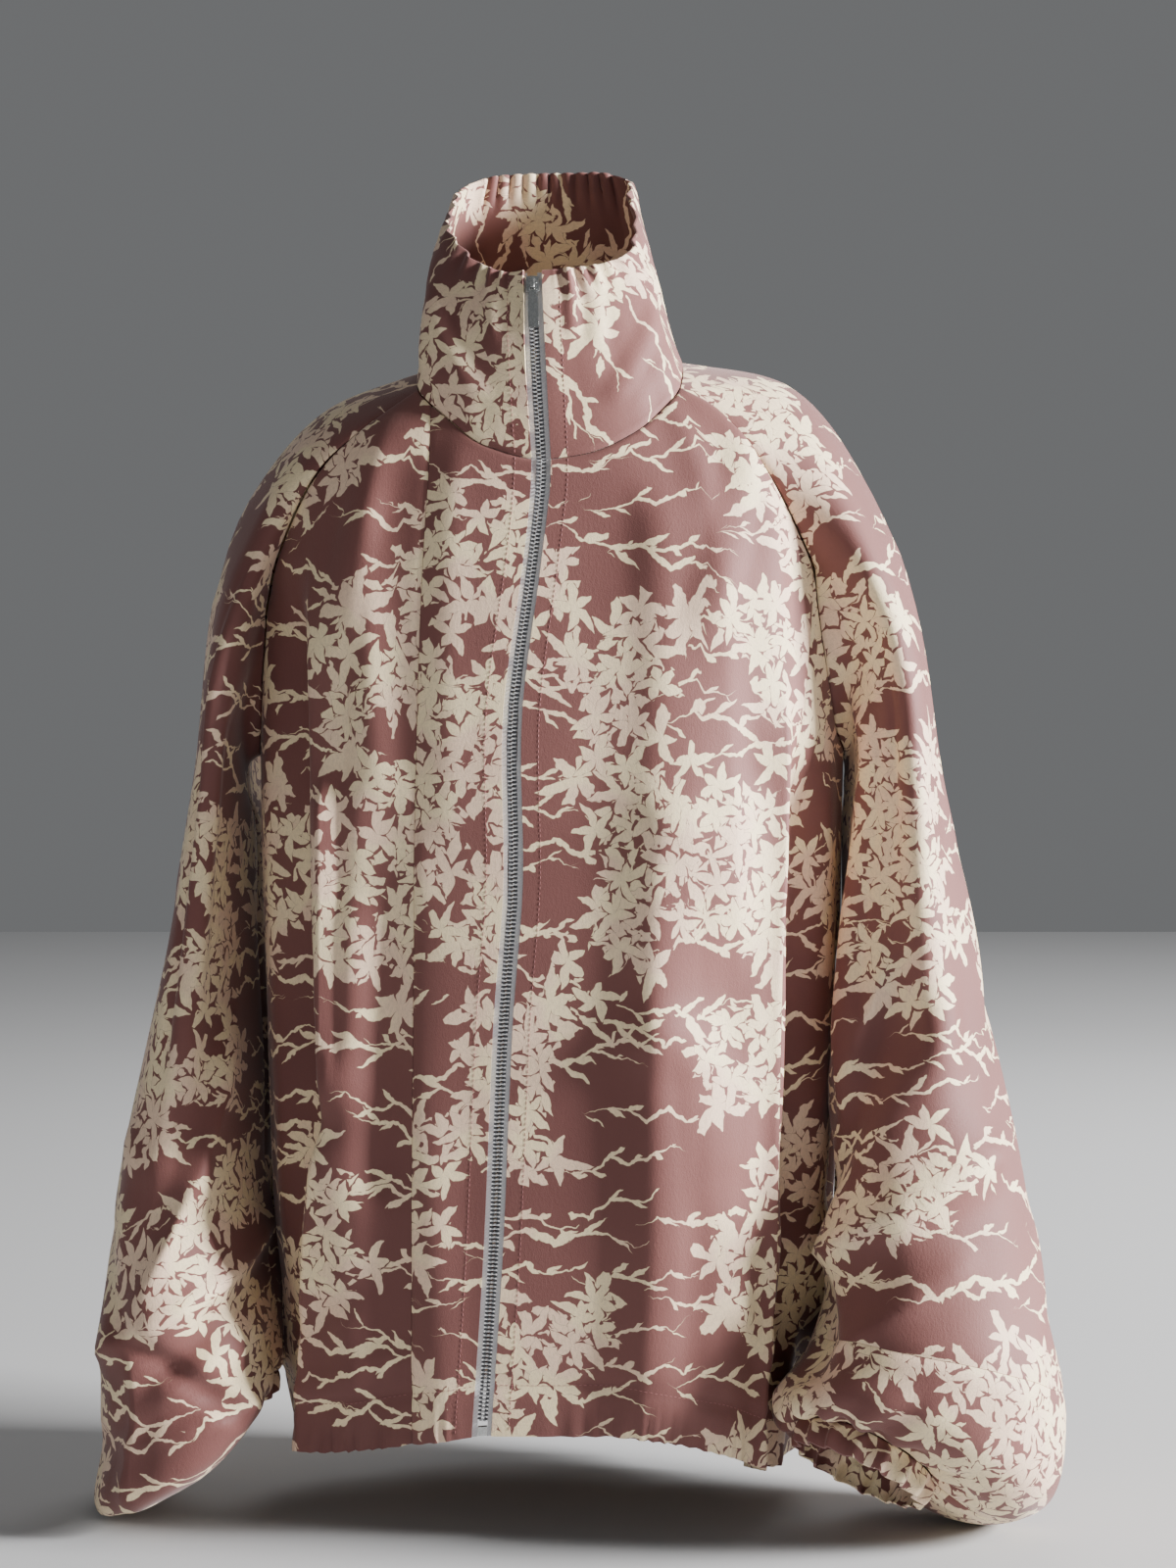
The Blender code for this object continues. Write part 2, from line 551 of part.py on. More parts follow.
def wall_mesh(name, outer, inner, closed, slot):
    """A closed wall between two grids. A closed grid runs round a tube."""
    outer, inner = np.asarray(outer), np.asarray(inner)
    rows, columns = outer.shape[:2]
    bm = bmesh.new()
    skins = []
    for grid in (outer, inner):
        skins.append([[bm.verts.new(Vector(grid[r, c])) for c in range(columns)]
                      for r in range(rows)])
    out, inn = skins
    spans = columns if closed else columns - 1

    def two(a, b, c, d):
        bm.faces.new((a, b, c))
        bm.faces.new((a, c, d))

    def rim(out_a, in_a, out_b, in_b):
        """Two triangles, split the same way on both pieces that meet at a seam."""
        if out_a.co.dot(RIM_ORDER) > out_b.co.dot(RIM_ORDER):
            two(out_a, in_a, in_b, out_b)
        else:
            two(out_b, in_b, in_a, out_a)

    for r in range(rows - 1):
        for c in range(spans):
            n = (c + 1) % columns
            two(out[r][c], out[r + 1][c], out[r + 1][n], out[r][n])
            two(inn[r + 1][n], inn[r + 1][c], inn[r][c], inn[r][n])
    for c in range(spans):
        n = (c + 1) % columns
        rim(out[0][c], inn[0][c], out[0][n], inn[0][n])
        rim(out[-1][c], inn[-1][c], out[-1][n], inn[-1][n])
    if not closed:
        for r in range(rows - 1):
            rim(out[r][0], inn[r][0], out[r + 1][0], inn[r + 1][0])
            rim(out[r][-1], inn[r][-1], out[r + 1][-1], inn[r + 1][-1])
    return finish_object(name, bm, slot)


def finish_object(name, bm, slot):
    bmesh.ops.recalc_face_normals(bm, faces=bm.faces)
    if bm.calc_volume(signed=True) < 0:
        bmesh.ops.reverse_faces(bm, faces=bm.faces)
    mesh = bpy.data.meshes.new(name)
    bm.to_mesh(mesh)
    bm.free()
    obj = bpy.data.objects.new(name, mesh)
    bpy.context.collection.objects.link(obj)
    mesh.materials.append(make_material(name, slot))
    return obj


def make_material(name, slot):
    material = bpy.data.materials.new(name)
    material.use_nodes = True
    shader = material.node_tree.nodes["Principled BSDF"]
    shader.inputs["Base Color"].default_value = (*COLOURS[slot], 1.0)
    shader.inputs["Roughness"].default_value = 0.35 if slot == "metal" else 0.75
    shader.inputs["Metallic"].default_value = 1.0 if slot == "metal" else 0.0
    return material


# ---------------------------------------------------------------- sleeves

def loop_at(values, share):
    """A closed curve through evenly spaced values, at a share of the way round."""
    values = np.asarray(values, float)
    count = len(values)
    place = (share % 1.0) * count
    i = int(place)
    t = place - i
    a, b, c, d = (values[(i + k) % count] for k in (-1, 0, 1, 2))
    return 0.5 * (2 * b + (c - a) * t + (2 * a - 5 * b + 4 * c - d) * t * t
                  + (3 * b - a - 3 * c + d) * t ** 3)


def arm_ring(side, row, share):
    ring = dict(zip(RING_COLUMN_NAMES, row))
    angle = 2 * math.pi * share
    inward, forward = math.cos(angle), math.sin(angle)
    power = 2 / RING_SQUARENESS
    out = (ring["inner"] + ring["outer"]) / 2
    out -= (ring["outer"] - ring["inner"]) / 2 * math.copysign(abs(inward) ** power, inward)
    y = (ring["front"] + ring["back"]) / 2
    y += (ring["front"] - ring["back"]) / 2 * math.copysign(abs(forward) ** power, forward)
    out -= ring["turn"] * (y - (ring["front"] + ring["back"]) / 2) * (1 + inward) / 2
    z = ((ring["z_inner"] + ring["z_outer"]) / 2 * inward ** 2
         + (ring["z_front"] + ring["z_back"]) / 2 * forward ** 2
         + (ring["z_inner"] - ring["z_outer"]) / 2 * inward
         + (ring["z_front"] - ring["z_back"]) / 2 * forward)
    return np.array([side * out, y, z])


def wrist_axes(side):
    facing = unit(WRIST[side]["facing"])
    across = np.array(WRIST[side]["across"])
    across = unit(across - facing * (across @ facing))
    return facing, across, side * np.cross(facing, across)


def wrist_point(side, share, along=0.0, fuller=0.0):
    """A point round the wrist, moved along the way the hand comes out."""
    facing, across, forward = wrist_axes(side)
    angle = 2 * math.pi * share
    long_half = WRIST[side]["long"] + fuller
    short_half = WRIST[side]["short"] + fuller
    return (np.array(WRIST[side]["centre"]) + facing * along
            - across * long_half * math.cos(angle) + forward * short_half * math.sin(angle))


def shoulder_edge(side, joint_front, joint_back):
    """The sleeve's edge along the neck, between its two raglan seams."""
    middle = np.array(NECK_SIDE[side])
    points = []
    for k in range(SHOULDER_COLUMNS + 1):
        t = k / SHOULDER_COLUMNS
        control = 2 * middle - (joint_front + joint_back) / 2
        points.append(joint_front * (1 - t) ** 2 + control * 2 * t * (1 - t) + joint_back * t * t)
    return points


def raglan_loop(side, fronts, backs):
    """The sleeve's top edge, from the underarm by the front and the neck."""
    front = [body_point(*pair) for pair in fronts[NECK_COLUMN:]][::-1]
    back = [body_point(*pair) for pair in backs[:RAGLAN_COLUMNS + 1]][::-1]
    edge = shoulder_edge(side, front[-1], back[0])
    return front + edge[1:-1] + back[:-1]


def sleeve_point(side, keys, column, place):
    """A point of the sleeve: `place` counts key rings down from the raglan seam."""
    i = min(int(place), len(keys) - 2)
    t = place - i
    b, c = keys[i][column], keys[i + 1][column]
    a = keys[i - 1][column] if i > 0 else 2 * b - c
    d = keys[i + 2][column] if i + 2 < len(keys) else 2 * c - b
    # Even out the speed, so unequal ring spacing doesn't make the curve swing wide
    before, here, after = (max(np.linalg.norm(q - p), 1e-5) for p, q in ((a, b), (b, c), (c, d)))
    slope_b = ((b - a) / before * here + (c - b) / here * before) / (before + here) * here
    slope_c = ((c - b) / here * after + (d - c) / after * here) / (here + after) * here
    return (b * (1 + 2 * t) * (1 - t) ** 2 + c * t * t * (3 - 2 * t)
            + slope_b * t * (1 - t) ** 2 - slope_c * t * t * (1 - t))


def sleeve_grid(side, loop):
    """Points of the whole sleeve, rows down from the raglan seam to the wrist."""
    shares = [c / RING_COLUMNS for c in range(RING_COLUMNS)]
    keys = [loop]
    for table in SHOULDER_LOOPS[side]:
        signed = np.array(table) * (side, 1, 1)
        keys.append([loop_at(signed, share) for share in shares])
    for row in ARM_RINGS[side]:
        keys.append([arm_ring(side, row, share) for share in shares])
    keys.append([wrist_point(side, share) for share in shares])
    steps = (len(keys) - 1) * RING_STEPS
    plain = np.array([[sleeve_point(side, keys, c, r / RING_STEPS) for c in range(RING_COLUMNS)]
                      for r in range(steps + 1)])
    folds = [(a * SLEEVE_GIRTH, za, b * SLEEVE_GIRTH, zb, *rest)
             for a, za, b, zb, *rest in SLEEVE_FOLDS[side]]
    normals = grid_normals(plain, True) * side
    folded = np.array(plain)
    for r in range(1, steps):
        calm = smoothstep(r / 4) * smoothstep((steps - 3 - r) / 3)
        for c in range(RING_COLUMNS):
            rise = fold_height(folds, shares[c] * SLEEVE_GIRTH, plain[r, c][2])
            folded[r, c] = plain[r, c] + normals[r, c] * rise * calm
    return folded


# ---------------------------------------------------------------- collar

def table_at(table, column, bearing):
    return smooth_through(table["bearing"], table[column], bearing)


def collar_base(tops, loops):
    """Neck seam from the left zip edge round the back to the right, with bearings."""
    points, bearings = [], []
    for side in (LEFT, RIGHT):
        half = [body_point(*pair) for pair in tops[side]["front"][:NECK_COLUMN + 1]]
        half += loops[side][RAGLAN_COLUMNS + 1:RAGLAN_COLUMNS + SHOULDER_COLUMNS]
        half += [body_point(*pair) for pair in tops[side]["back"][RAGLAN_COLUMNS:]]
        if side == RIGHT:
            half = half[::-1][1:]
        points += half
    centre = np.array([0.0, -0.015])
    for point in points:
        across = point[:2] - centre
        bearings.append(math.degrees(math.atan2(across[0], -across[1])))
    middle = len(points) // 2
    bearings = [b + 360 if i < middle and b < -90 else b for i, b in enumerate(bearings)]
    bearings = [b - 360 if i > middle and b > 90 else b for i, b in enumerate(bearings)]
    bearings[middle] = 180.0
    return np.array(points), bearings


COLLAR_FOLD_LINES = [(math.radians(a) * COLLAR_RADIUS, ha * 0.1,
                      math.radians(b) * COLLAR_RADIUS, hb * 0.1, *rest)
                     for a, ha, b, hb, *rest in COLLAR_FOLDS]


def collar_grid(base, bearings):
    """Rows from the top edge of the collar down to the neck seam."""
    rows = []
    count = len(base)
    marks = []
    for i in range(count - 1):
        marks.append((base[i], bearings[i]))
        nxt = bearings[i + 1]
        if i + 1 == count // 2:
            middle = (bearings[i] + 180.0) / 2
        elif i == count // 2:
            middle = (-180.0 + nxt) / 2
        else:
            middle = (bearings[i] + nxt) / 2
        marks.append(((base[i] + base[i + 1]) / 2, middle))
    marks.append((base[-1], bearings[-1]))
    first, last = marks[0][1], marks[-1][1]
    for r in range(COLLAR_ROWS + 1):
        height = 1 - r / COLLAR_ROWS
        row = []
        for foot, bearing in marks:
            top = np.array([table_at(COLLAR_TOP, c, bearing) for c in ("x", "y", "z")])
            if bearing in (first, last):
                side = LEFT if bearing == first else RIGHT
                top = np.array([ZIP_TOP_X + side * EDGE_TO_ZIP, -0.086, 0.0515])
            point = foot + (top - foot) * height
            outward = unit((point[0], point[1] + 0.015, 0.0))
            swell = COLLAR_BULGE * math.sin(math.pi * height) * (1 - 0.6 * max(outward[0], 0))
            rise = fold_height(COLLAR_FOLD_LINES, math.radians(bearing) * COLLAR_RADIUS,
                               height * 0.1, fade=0.02)
            near_zip = smoothstep((min(abs(bearing - first), abs(bearing - last)) - 2) / 14)
            point = point + outward * (swell + rise * near_zip * min(1.0, 4 * height))
            row.append(point)
        rows.append(row)
    return np.array(rows)


# ---------------------------------------------------------------- build steps

def ring_of(column):
    """Place on the sleeve's top ring of a body column that ends on a raglan seam."""
    return (FRONT_COLUMNS - column) % RING_COLUMNS


def build():
    for obj in list(bpy.data.objects):
        bpy.data.objects.remove(obj, do_unlink=True)

    tops = {side: {"front": front_tops(side), "back": back_tops(side)} for side in (LEFT, RIGHT)}
    loops = {side: raglan_loop(side, tops[side]["front"], tops[side]["back"])
             for side in (LEFT, RIGHT)}
    sleeves = {side: sleeve_grid(side, loops[side]) for side in (LEFT, RIGHT)}
    base, bearings = collar_base(tops, loops)
    collar = collar_grid(base, bearings)
    neck = {"ways": leaving(collar[-1], collar[-2]), "away": np.zeros((len(collar[0]), 3)),
            "normals": grid_normals(collar, False)}

    fronts = {}
    for side in (LEFT, RIGHT):
        fronts[side] = build_side(side, tops[side], sleeves[side], neck)
    outer, through = cloth_panel("collar", collar, neck["normals"], COLLAR_WALL,
                                 {"foot": neck["away"]})
    build_zip(fronts, outer, through)


def build_side(side, tops, sleeve, neck):
    """Fronts, back, sleeve and cuff of one side. Returns the front edge's grid."""
    word = "left" if side == LEFT else "right"
    front = body_grid(tops["front"], front_line_bearing, side, 0, FRONT_COLUMNS)
    back = body_grid(tops["back"], back_line_bearing, side, 0, BACK_COLUMNS)
    pairs = [f + b[1:] for f, b in zip(front, back)]
    half = np.array([[body_point(*pair) for pair in row] for row in pairs])
    half_normals = grid_normals(half, False) * side
    half_normals[:, -1] = [unit((0.0, n[1], n[2])) for n in half_normals[:, -1]]
    ring_normals = grid_normals(sleeve, True) * side

    body_away, ring_away = part_top_seams(side, (half, half_normals),
                                          (sleeve, ring_normals), neck)

    # Body panels, parted where they are sewn
    seam = SEAM_COLUMN[side]
    stops = {f"front_{word}_centre": (0, seam), f"front_{word}_side": (seam, FRONT_COLUMNS),
             f"back_{word}": (FRONT_COLUMNS, HALF_COLUMNS)}
    made = {}
    for name, (first, last) in stops.items():
        away = {"top": body_away[first:last + 1]}
        if first > 0:
            away["start"] = edge_away(half, first, 1)
        if last == HALF_COLUMNS:
            away["end"] = [(side, 0.0, 0.0)] * len(half)
        else:
            away["end"] = edge_away(half, last, -1)
        grid = slice(first, last + 1)
        made[name] = cloth_panel(name, half[:, grid], half_normals[:, grid], WALL, away)

    # Sleeve panels
    wrist_ways = leaving(sleeve[-1], sleeve[-2], closed=True)
    facing = wrist_axes(side)[0]
    wrist_away = np.array([parted(way, facing) for way in wrist_ways])
    middle = RING_COLUMNS // 2
    front_columns = list(range(middle + 1))
    back_columns = list(range(middle, RING_COLUMNS)) + [0]
    last_row = len(sleeve) - 1
    piecing = int(np.argmin(np.abs(sleeve[:, middle // 2, 2] - PIECING_ROW_Z)))
    parts = [(f"sleeve_{word}_back", back_columns, 0, last_row)]
    if side == LEFT:
        parts.append(("sleeve_left_front", front_columns, 0, piecing))
        parts.append(("sleeve_left_front_lower", front_columns, piecing, last_row))
    else:
        parts.append(("sleeve_right_front", front_columns, 0, last_row))
    for name, columns, top, foot in parts:
        rows = slice(top, foot + 1)
        away = {"start": edge_away(sleeve, columns[0], 1)[rows],
                "end": edge_away(sleeve, columns[-1], -1)[rows],
                "top": ring_away[columns], "foot": wrist_away[columns]}
        if top > 0:
            away["top"] = row_away(sleeve, top, 1)[columns]
        if foot < last_row:
            away["foot"] = row_away(sleeve, foot, -1)[columns]
        cloth_panel(name, sleeve[rows][:, columns], ring_normals[rows][:, columns], WALL, away)
    build_cuff(side, f"cuff_{word}", -wrist_away)
    return made[f"front_{word}_centre"]


def edge_away(grid, column, step):
    """Ways back from a seam that runs down a column, into the piece on one side."""
    count = grid.shape[1]
    edge, into, other = grid[:, column], grid[:, (column + step) % count], grid[:, column - step]
    return np.array([parted(a, b) for a, b in zip(leaving(edge, into), leaving(edge, other))])


def row_away(grid, row, step):
    """Ways back from a seam that runs round a ring, into the piece on one side."""
    edge, into, other = grid[row], grid[row + step], grid[row - step]
    return np.array([parted(a, b) for a, b in zip(leaving(edge, into, True),
                                                  leaving(edge, other, True))])


def part_top_seams(side, body, arm, neck):
    """Ways back for the body and the sleeve at the raglan and neck seams.

    Where three pieces meet they also share one way through the wall.
    """
    (half, half_normals), (sleeve, ring_normals) = body, arm
    collar_ways, collar_away, collar_normals = neck["ways"], neck["away"], neck["normals"]
    body_ways = leaving(half[0], half[1])
    ring_ways = leaving(sleeve[0], sleeve[1], closed=True)
    total = len(collar_ways) - 1
    body_away = np.zeros_like(body_ways)
    ring_away = np.zeros_like(ring_ways)

    def collar_place(number):
        return 2 * number if side == LEFT else total - 2 * number

    for column in range(FRONT_JOINT + 1, BACK_JOINT):
        ring = ring_of(column)
        body_away[column] = parted(body_ways[column], ring_ways[ring])
        ring_away[ring] = parted(ring_ways[ring], body_ways[column])
    for number in range(COLLAR_HALF + 1):
        place = collar_place(number)
        column = number if number <= FRONT_JOINT else number + BACK_JOINT - (
            FRONT_JOINT + SHOULDER_COLUMNS)
        ring = RAGLAN_COLUMNS + number - FRONT_JOINT
        if number in (FRONT_JOINT, FRONT_JOINT + SHOULDER_COLUMNS):
            out = unit(half_normals[0, column] + ring_normals[0, ring]
                       + collar_normals[-1, place])
            three = [unit(half[1][column] - half[0][column]),
                     unit(sleeve[1][ring] - sleeve[0][ring]), collar_ways[place]]
            ways = []
            for k in range(3):
                way = parted(three[k], three[k - 1], three[k - 2])
                ways.append(unit(way - out * (way @ out)))
            body_away[column], ring_away[ring], collar_away[place] = ways
            half_normals[0, column] = ring_normals[0, ring] = out
            collar_normals[-1, place] = out
        elif FRONT_JOINT < number < FRONT_JOINT + SHOULDER_COLUMNS:
            ring_away[ring] = parted(ring_ways[ring], collar_ways[place])
            collar_away[place] = parted(collar_ways[place], ring_ways[ring])
        else:
            body_away[column] = parted(body_ways[column], collar_ways[place])
            collar_away[place] = parted(collar_ways[place], body_ways[column])
    for number in range(COLLAR_HALF):
        a, b = collar_place(number), collar_place(number + 1)
        collar_away[(a + b) // 2] = (collar_away[a] + collar_away[b]) / 2
    return body_away, ring_away


def build_cuff(side, name, away):
    """The elastic casing: it starts on the sleeve's own edge and gathers into waves."""
    columns = 4 * CUFF_GATHERS
    facing = wrist_axes(side)[0]
    outer, inner = [], []
    for depth in (0.0, 0.006, CUFF_DEPTH):
        out_row, in_row = [], []
        grown = smoothstep(depth / 0.006)
        for c in range(columns):
            share = c / columns
            wave = math.sin(2 * math.pi * share * CUFF_GATHERS) * CUFF_WAVE * grown
            middle = wrist_point(side, share, depth)
            outward = unit(wrist_point(side, share, depth, 0.01) - middle)
            back = along_ring(away, share)
            start = along_ring([wrist_point(side, k / RING_COLUMNS)
                                for k in range(RING_COLUMNS)], share) + back * HALF_GAP
            point = start + (middle + outward * wave - start) * grown
            through = -outward
            if depth == 0.0:
                through = unit(through - back * min(through @ back, 0.0))
            out_row.append(point)
            in_row.append(point + through * CUFF_WALL)
        outer.append(out_row)
        inner.append(in_row)
    wall_mesh(name, outer, inner, True, "crepe")


def along_ring(values, share):
    """A value part way between two of the sleeve's columns."""
    place = share * RING_COLUMNS
    first = int(place)
    t = place - first
    return values[first] * (1 - t) + values[(first + 1) % RING_COLUMNS] * t


def zip_stations(fronts, collar, collar_through):
    """Places down the zip: the two front edges, the way out and the wall there."""
    stations = []
    for r in range(COLLAR_ROWS):
        stations.append((collar[r][0], collar[r][1], collar[r][-1], collar[r][-2],
                         -unit(collar_through[r][0] + collar_through[r][-1]), COLLAR_WALL))
    left, left_through = fronts[LEFT]
    right, right_through = fronts[RIGHT]
    for r in range(len(left)):
        wall = COLLAR_WALL if r < 1 else WALL
        stations.append((left[r][0], left[r][1], right[r][0], right[r][1],
                         -unit(left_through[r][0] + right_through[r][0]), wall))
    return stations


def build_zip(fronts, collar, collar_through):
    """Tapes behind the front edges, the chain between them, its box and its slider."""
    stations = zip_stations(fronts, collar, collar_through)
    middle, across, outward = [], [], []
    tape = {LEFT: ([], []), RIGHT: ([], [])}
    for left, left_next, right, right_next, out, wall in stations:
        along = unit(left - right)
        out = unit(out - along * (out @ along))
        depth = wall + LAY_GAP + TAPE_WALL / 2
        centre = (left + right) / 2 - out * depth
        middle.append(centre)
        across.append(along)
        outward.append(out)
        for side, edge, following in ((LEFT, left, left_next), (RIGHT, right, right_next)):
            near = centre + along * side * (CHAIN_HALF + CHAIN_TO_TAPE)
            facet = unit(following - edge)
            far = edge + facet * TAPE_UNDER - out * depth
            half = out * TAPE_WALL / 2
            tape[side][0].append([near + half, far + half])
            tape[side][1].append([near - half, far - half])
    for side, word in ((LEFT, "left"), (RIGHT, "right")):
        wall_mesh(f"zip_tape_{word}", tape[side][0], tape[side][1], False, "tape")

    # The chain runs from the box at the hem to the middle of the slider
    frames = list(zip(middle, across, outward))
    top, foot = middle[0][2], middle[-1][2]
    chain_top = top - SLIDER_CENTRE_BELOW_TOP - 0.001
    box_top = foot + BOX_HEIGHT
    chain = zip_bar_rows(frames, chain_top, box_top + LAY_GAP)
    zip_bar("zip_chain", chain)
    zip_bar("zip_box", zip_bar_rows(frames, box_top, foot + 0.0004))
    build_slider(frames, top - SLIDER_CENTRE_BELOW_TOP)


def frame_at(frames, z):
    heights = [f[0][2] for f in frames][::-1]
    values = []
    for part in range(3):
        columns = [np.interp(z, heights, [f[part][k] for f in frames][::-1]) for k in range(3)]
        values.append(np.array(columns))
    return values[0], unit(values[1]), unit(values[2])


def zip_bar_rows(frames, high, low):
    heights = [high] + [f[0][2] for f in frames if low + 0.002 < f[0][2] < high - 0.002] + [low]
    return [frame_at(frames, z) for z in heights]


def zip_bar(name, rows):
    front, back = [], []
    for centre, along, out in rows:
        half = out * CHAIN_WALL / 2
        edge = along * CHAIN_HALF
        front.append([centre + edge + half, centre - edge + half])
        back.append([centre + edge - half, centre - edge - half])
    wall_mesh(name, front, back, False, "metal")


def boxes_joined(name, boxes, place, slot):
    """One closed body from boxes (u, v, n ranges in mm) that run into each other."""
    first = None
    for number, spans in enumerate(boxes):
        bm = bmesh.new()
        bmesh.ops.create_cube(bm, size=1.0)
        for vert in bm.verts:
            vert.co = Vector([low + (high - low) * (co + 0.5)
                              for co, (low, high) in zip(vert.co, spans)]) * 0.001
        obj = finish_object(name if number == 0 else f"{name}_block_{number}", bm, slot)
        obj.matrix_world = place
        if first is None:
            first = obj
            continue
        obj.hide_render = True
        obj.display_type = "WIRE"
        union = first.modifiers.new(f"Block {number}", "BOOLEAN")
        union.operation = "UNION"
        union.object = obj
    return first


SLIDER_BLOCKS = (
    # u is across the zip, v is up it, n is out from the chain; millimetres
    ((-4.2, 4.2), (-5.4, 5.6), (1.5, 2.6)),
    ((-1.3, 1.3), (1.6, 5.0), (-2.5, 2.4)),
    ((-4.2, 4.2), (-5.4, 5.6), (-2.6, -1.5)),
    ((-1.2, 1.2), (2.7, 3.9), (2.3, 5.4)),
    ((-1.2, 1.2), (-3.9, -2.7), (2.3, 5.4)),
    ((-1.2, 1.2), (-3.9, 3.9), (5.0, 5.9)),
)
PULL_PIVOT_N = 3.8
PULL_BLOCKS = (
    ((-2.7, 2.7), (-0.6, 0.6), (-0.6, 0.6)),
    ((1.6, 2.7), (-6.2, 0.4), (-0.55, 0.55)),
    ((-2.7, -1.6), (-6.2, 0.4), (-0.55, 0.55)),
    ((-2.6, 2.6), (-9.5, -5.2), (-0.5, 0.5)),
    ((-3.25, 3.25), (-31.0, -9.0), (-0.55, 0.55)),
)


def build_slider(frames, height):
    """The slider near the top of the zip, and the pull that swings on its bridge."""
    centre, across, outward = frame_at(frames, height)
    above, below = frame_at(frames, height + 0.004)[0], frame_at(frames, height - 0.012)[0]
    up = unit(above - below)
    outward = unit(outward - up * (outward @ up))
    across = np.cross(up, outward)
    place = Matrix([[across[k], up[k], outward[k], centre[k]] for k in range(3)]
                   + [[0, 0, 0, 1]])
    boxes_joined("zip_slider", SLIDER_BLOCKS, place, "metal")
    pivot = centre + outward * PULL_PIVOT_N * 0.001
    hang = place.copy()
    for k in range(3):
        hang[k][3] = pivot[k]
    boxes_joined("zip_pull", PULL_BLOCKS, hang, "metal")


build()
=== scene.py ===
# Zip-front raglan jacket in printed crepe: the looks.
# Metres, +Z up, +X towards the wearer's left, the front faces -Y, origin in the middle of the neck.
import math

import bmesh
import bpy
import numpy as np
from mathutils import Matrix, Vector


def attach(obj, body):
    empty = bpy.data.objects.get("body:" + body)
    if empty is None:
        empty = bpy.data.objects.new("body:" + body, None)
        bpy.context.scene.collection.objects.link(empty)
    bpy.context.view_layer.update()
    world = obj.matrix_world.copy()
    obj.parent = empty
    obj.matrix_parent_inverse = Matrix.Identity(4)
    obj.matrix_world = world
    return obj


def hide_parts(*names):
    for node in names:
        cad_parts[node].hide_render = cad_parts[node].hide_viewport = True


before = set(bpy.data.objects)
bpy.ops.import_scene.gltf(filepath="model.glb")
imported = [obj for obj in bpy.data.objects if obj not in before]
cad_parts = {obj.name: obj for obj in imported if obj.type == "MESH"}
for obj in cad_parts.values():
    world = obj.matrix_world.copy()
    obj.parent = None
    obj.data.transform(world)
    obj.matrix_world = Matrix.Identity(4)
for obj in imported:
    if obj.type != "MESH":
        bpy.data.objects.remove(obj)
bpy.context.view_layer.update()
print("frame loaded:", len(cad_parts), "nodes")

left, right = 1, -1   # the wearer's sides
sideWord = {left: "left", right: "right"}
rng = np.random.default_rng(41)


def addThing(name, data):
    thing = bpy.data.objects.new(name, data)
    bpy.context.collection.objects.link(thing)
    return thing


# ---- camera, light and floor

view = dict(place=(0.024, -1.57, -0.27), lens=54.4, sensor=36.0)
studio = dict(
    lamps=dict(key=((4.75, -0.90, 1.10), 1.3, 1210.0), fill=((-1.8, -1.9, 0.3), 1.8, 5.0),
               back=((0.6, 1.9, 1.1), 1.4, 16.0)),   # place, size, power
    aim=(0.0, 0.0, -0.36), skyColour=(0.86, 0.88, 0.90), skyStrength=0.18,
    floorHeight=-0.7425, floorReach=6.0, floorColour=(0.47, 0.47, 0.475), floorRoughness=0.9)


def addCamera():
    camera = bpy.data.cameras.new("camera")
    camera.sensor_fit = "VERTICAL"
    camera.sensor_height, camera.lens = view["sensor"], view["lens"]
    holder = addThing("camera", camera)
    holder.location, holder.rotation_euler = view["place"], (math.pi / 2, 0, 0)
    bpy.context.scene.camera = holder


def addLights():
    for name, (place, size, power) in studio["lamps"].items():
        lamp = bpy.data.lights.new(name, "AREA")
        lamp.energy, lamp.size = power, size
        holder = addThing(name, lamp)
        holder.location = place
        way = Vector(studio["aim"]) - holder.location
        holder.rotation_euler = way.to_track_quat("-Z", "Y").to_euler()
    world = bpy.data.worlds.new("sky")
    world.use_nodes = True
    sky = world.node_tree.nodes["Background"]
    sky.inputs["Color"].default_value = (*studio["skyColour"], 1)
    sky.inputs["Strength"].default_value = studio["skyStrength"]
    bpy.context.scene.world = world


addCamera()
addLights()
print("camera and lights placed")


# ---- curves, folds and small helpers

crisp = "crisp"   # marks a fold with a sharp ridge; the others are soft


def smoothThrough(table, key, name, at):
    # a table's column over its key column, as a curve that never overshoots them
    keys, values = (np.asarray(table[column], float) for column in (key, name))
    if keys[0] > keys[-1]:
        keys, values = keys[::-1], values[::-1]
    at = np.clip(np.asarray(at, float), keys[0], keys[-1])
    i = np.clip(np.searchsorted(keys, at) - 1, 0, len(keys) - 2)
    step = np.diff(keys)
    rise = np.diff(values) / step
    slope = np.zeros(len(keys))
    slope[0], slope[-1] = rise[0], rise[-1]
    before, after = rise[:-1], rise[1:]
    same = before * after > 0
    slope[1:-1][same] = (2 * before * after)[same] / (before + after)[same]
    t = (at - keys[i]) / step[i]
    return (values[i] * (1 + 2 * t) * (1 - t) ** 2 + values[i + 1] * t * t * (3 - 2 * t)
            + step[i] * (slope[i] * t * (1 - t) ** 2 - slope[i + 1] * t * t * (1 - t)))


def smoothStep(t):
    t = np.clip(t, 0.0, 1.0)
    return t * t * (3 - 2 * t)


def unit(v):
    v = np.asarray(v, float)
    return v / (np.linalg.norm(v, axis=-1, keepdims=True) + 1e-12)


def squared(wave, squareness):
    # a sine or cosine that draws a round-cornered square in place of a circle
    return np.sign(wave) * np.abs(wave) ** (2 / squareness)


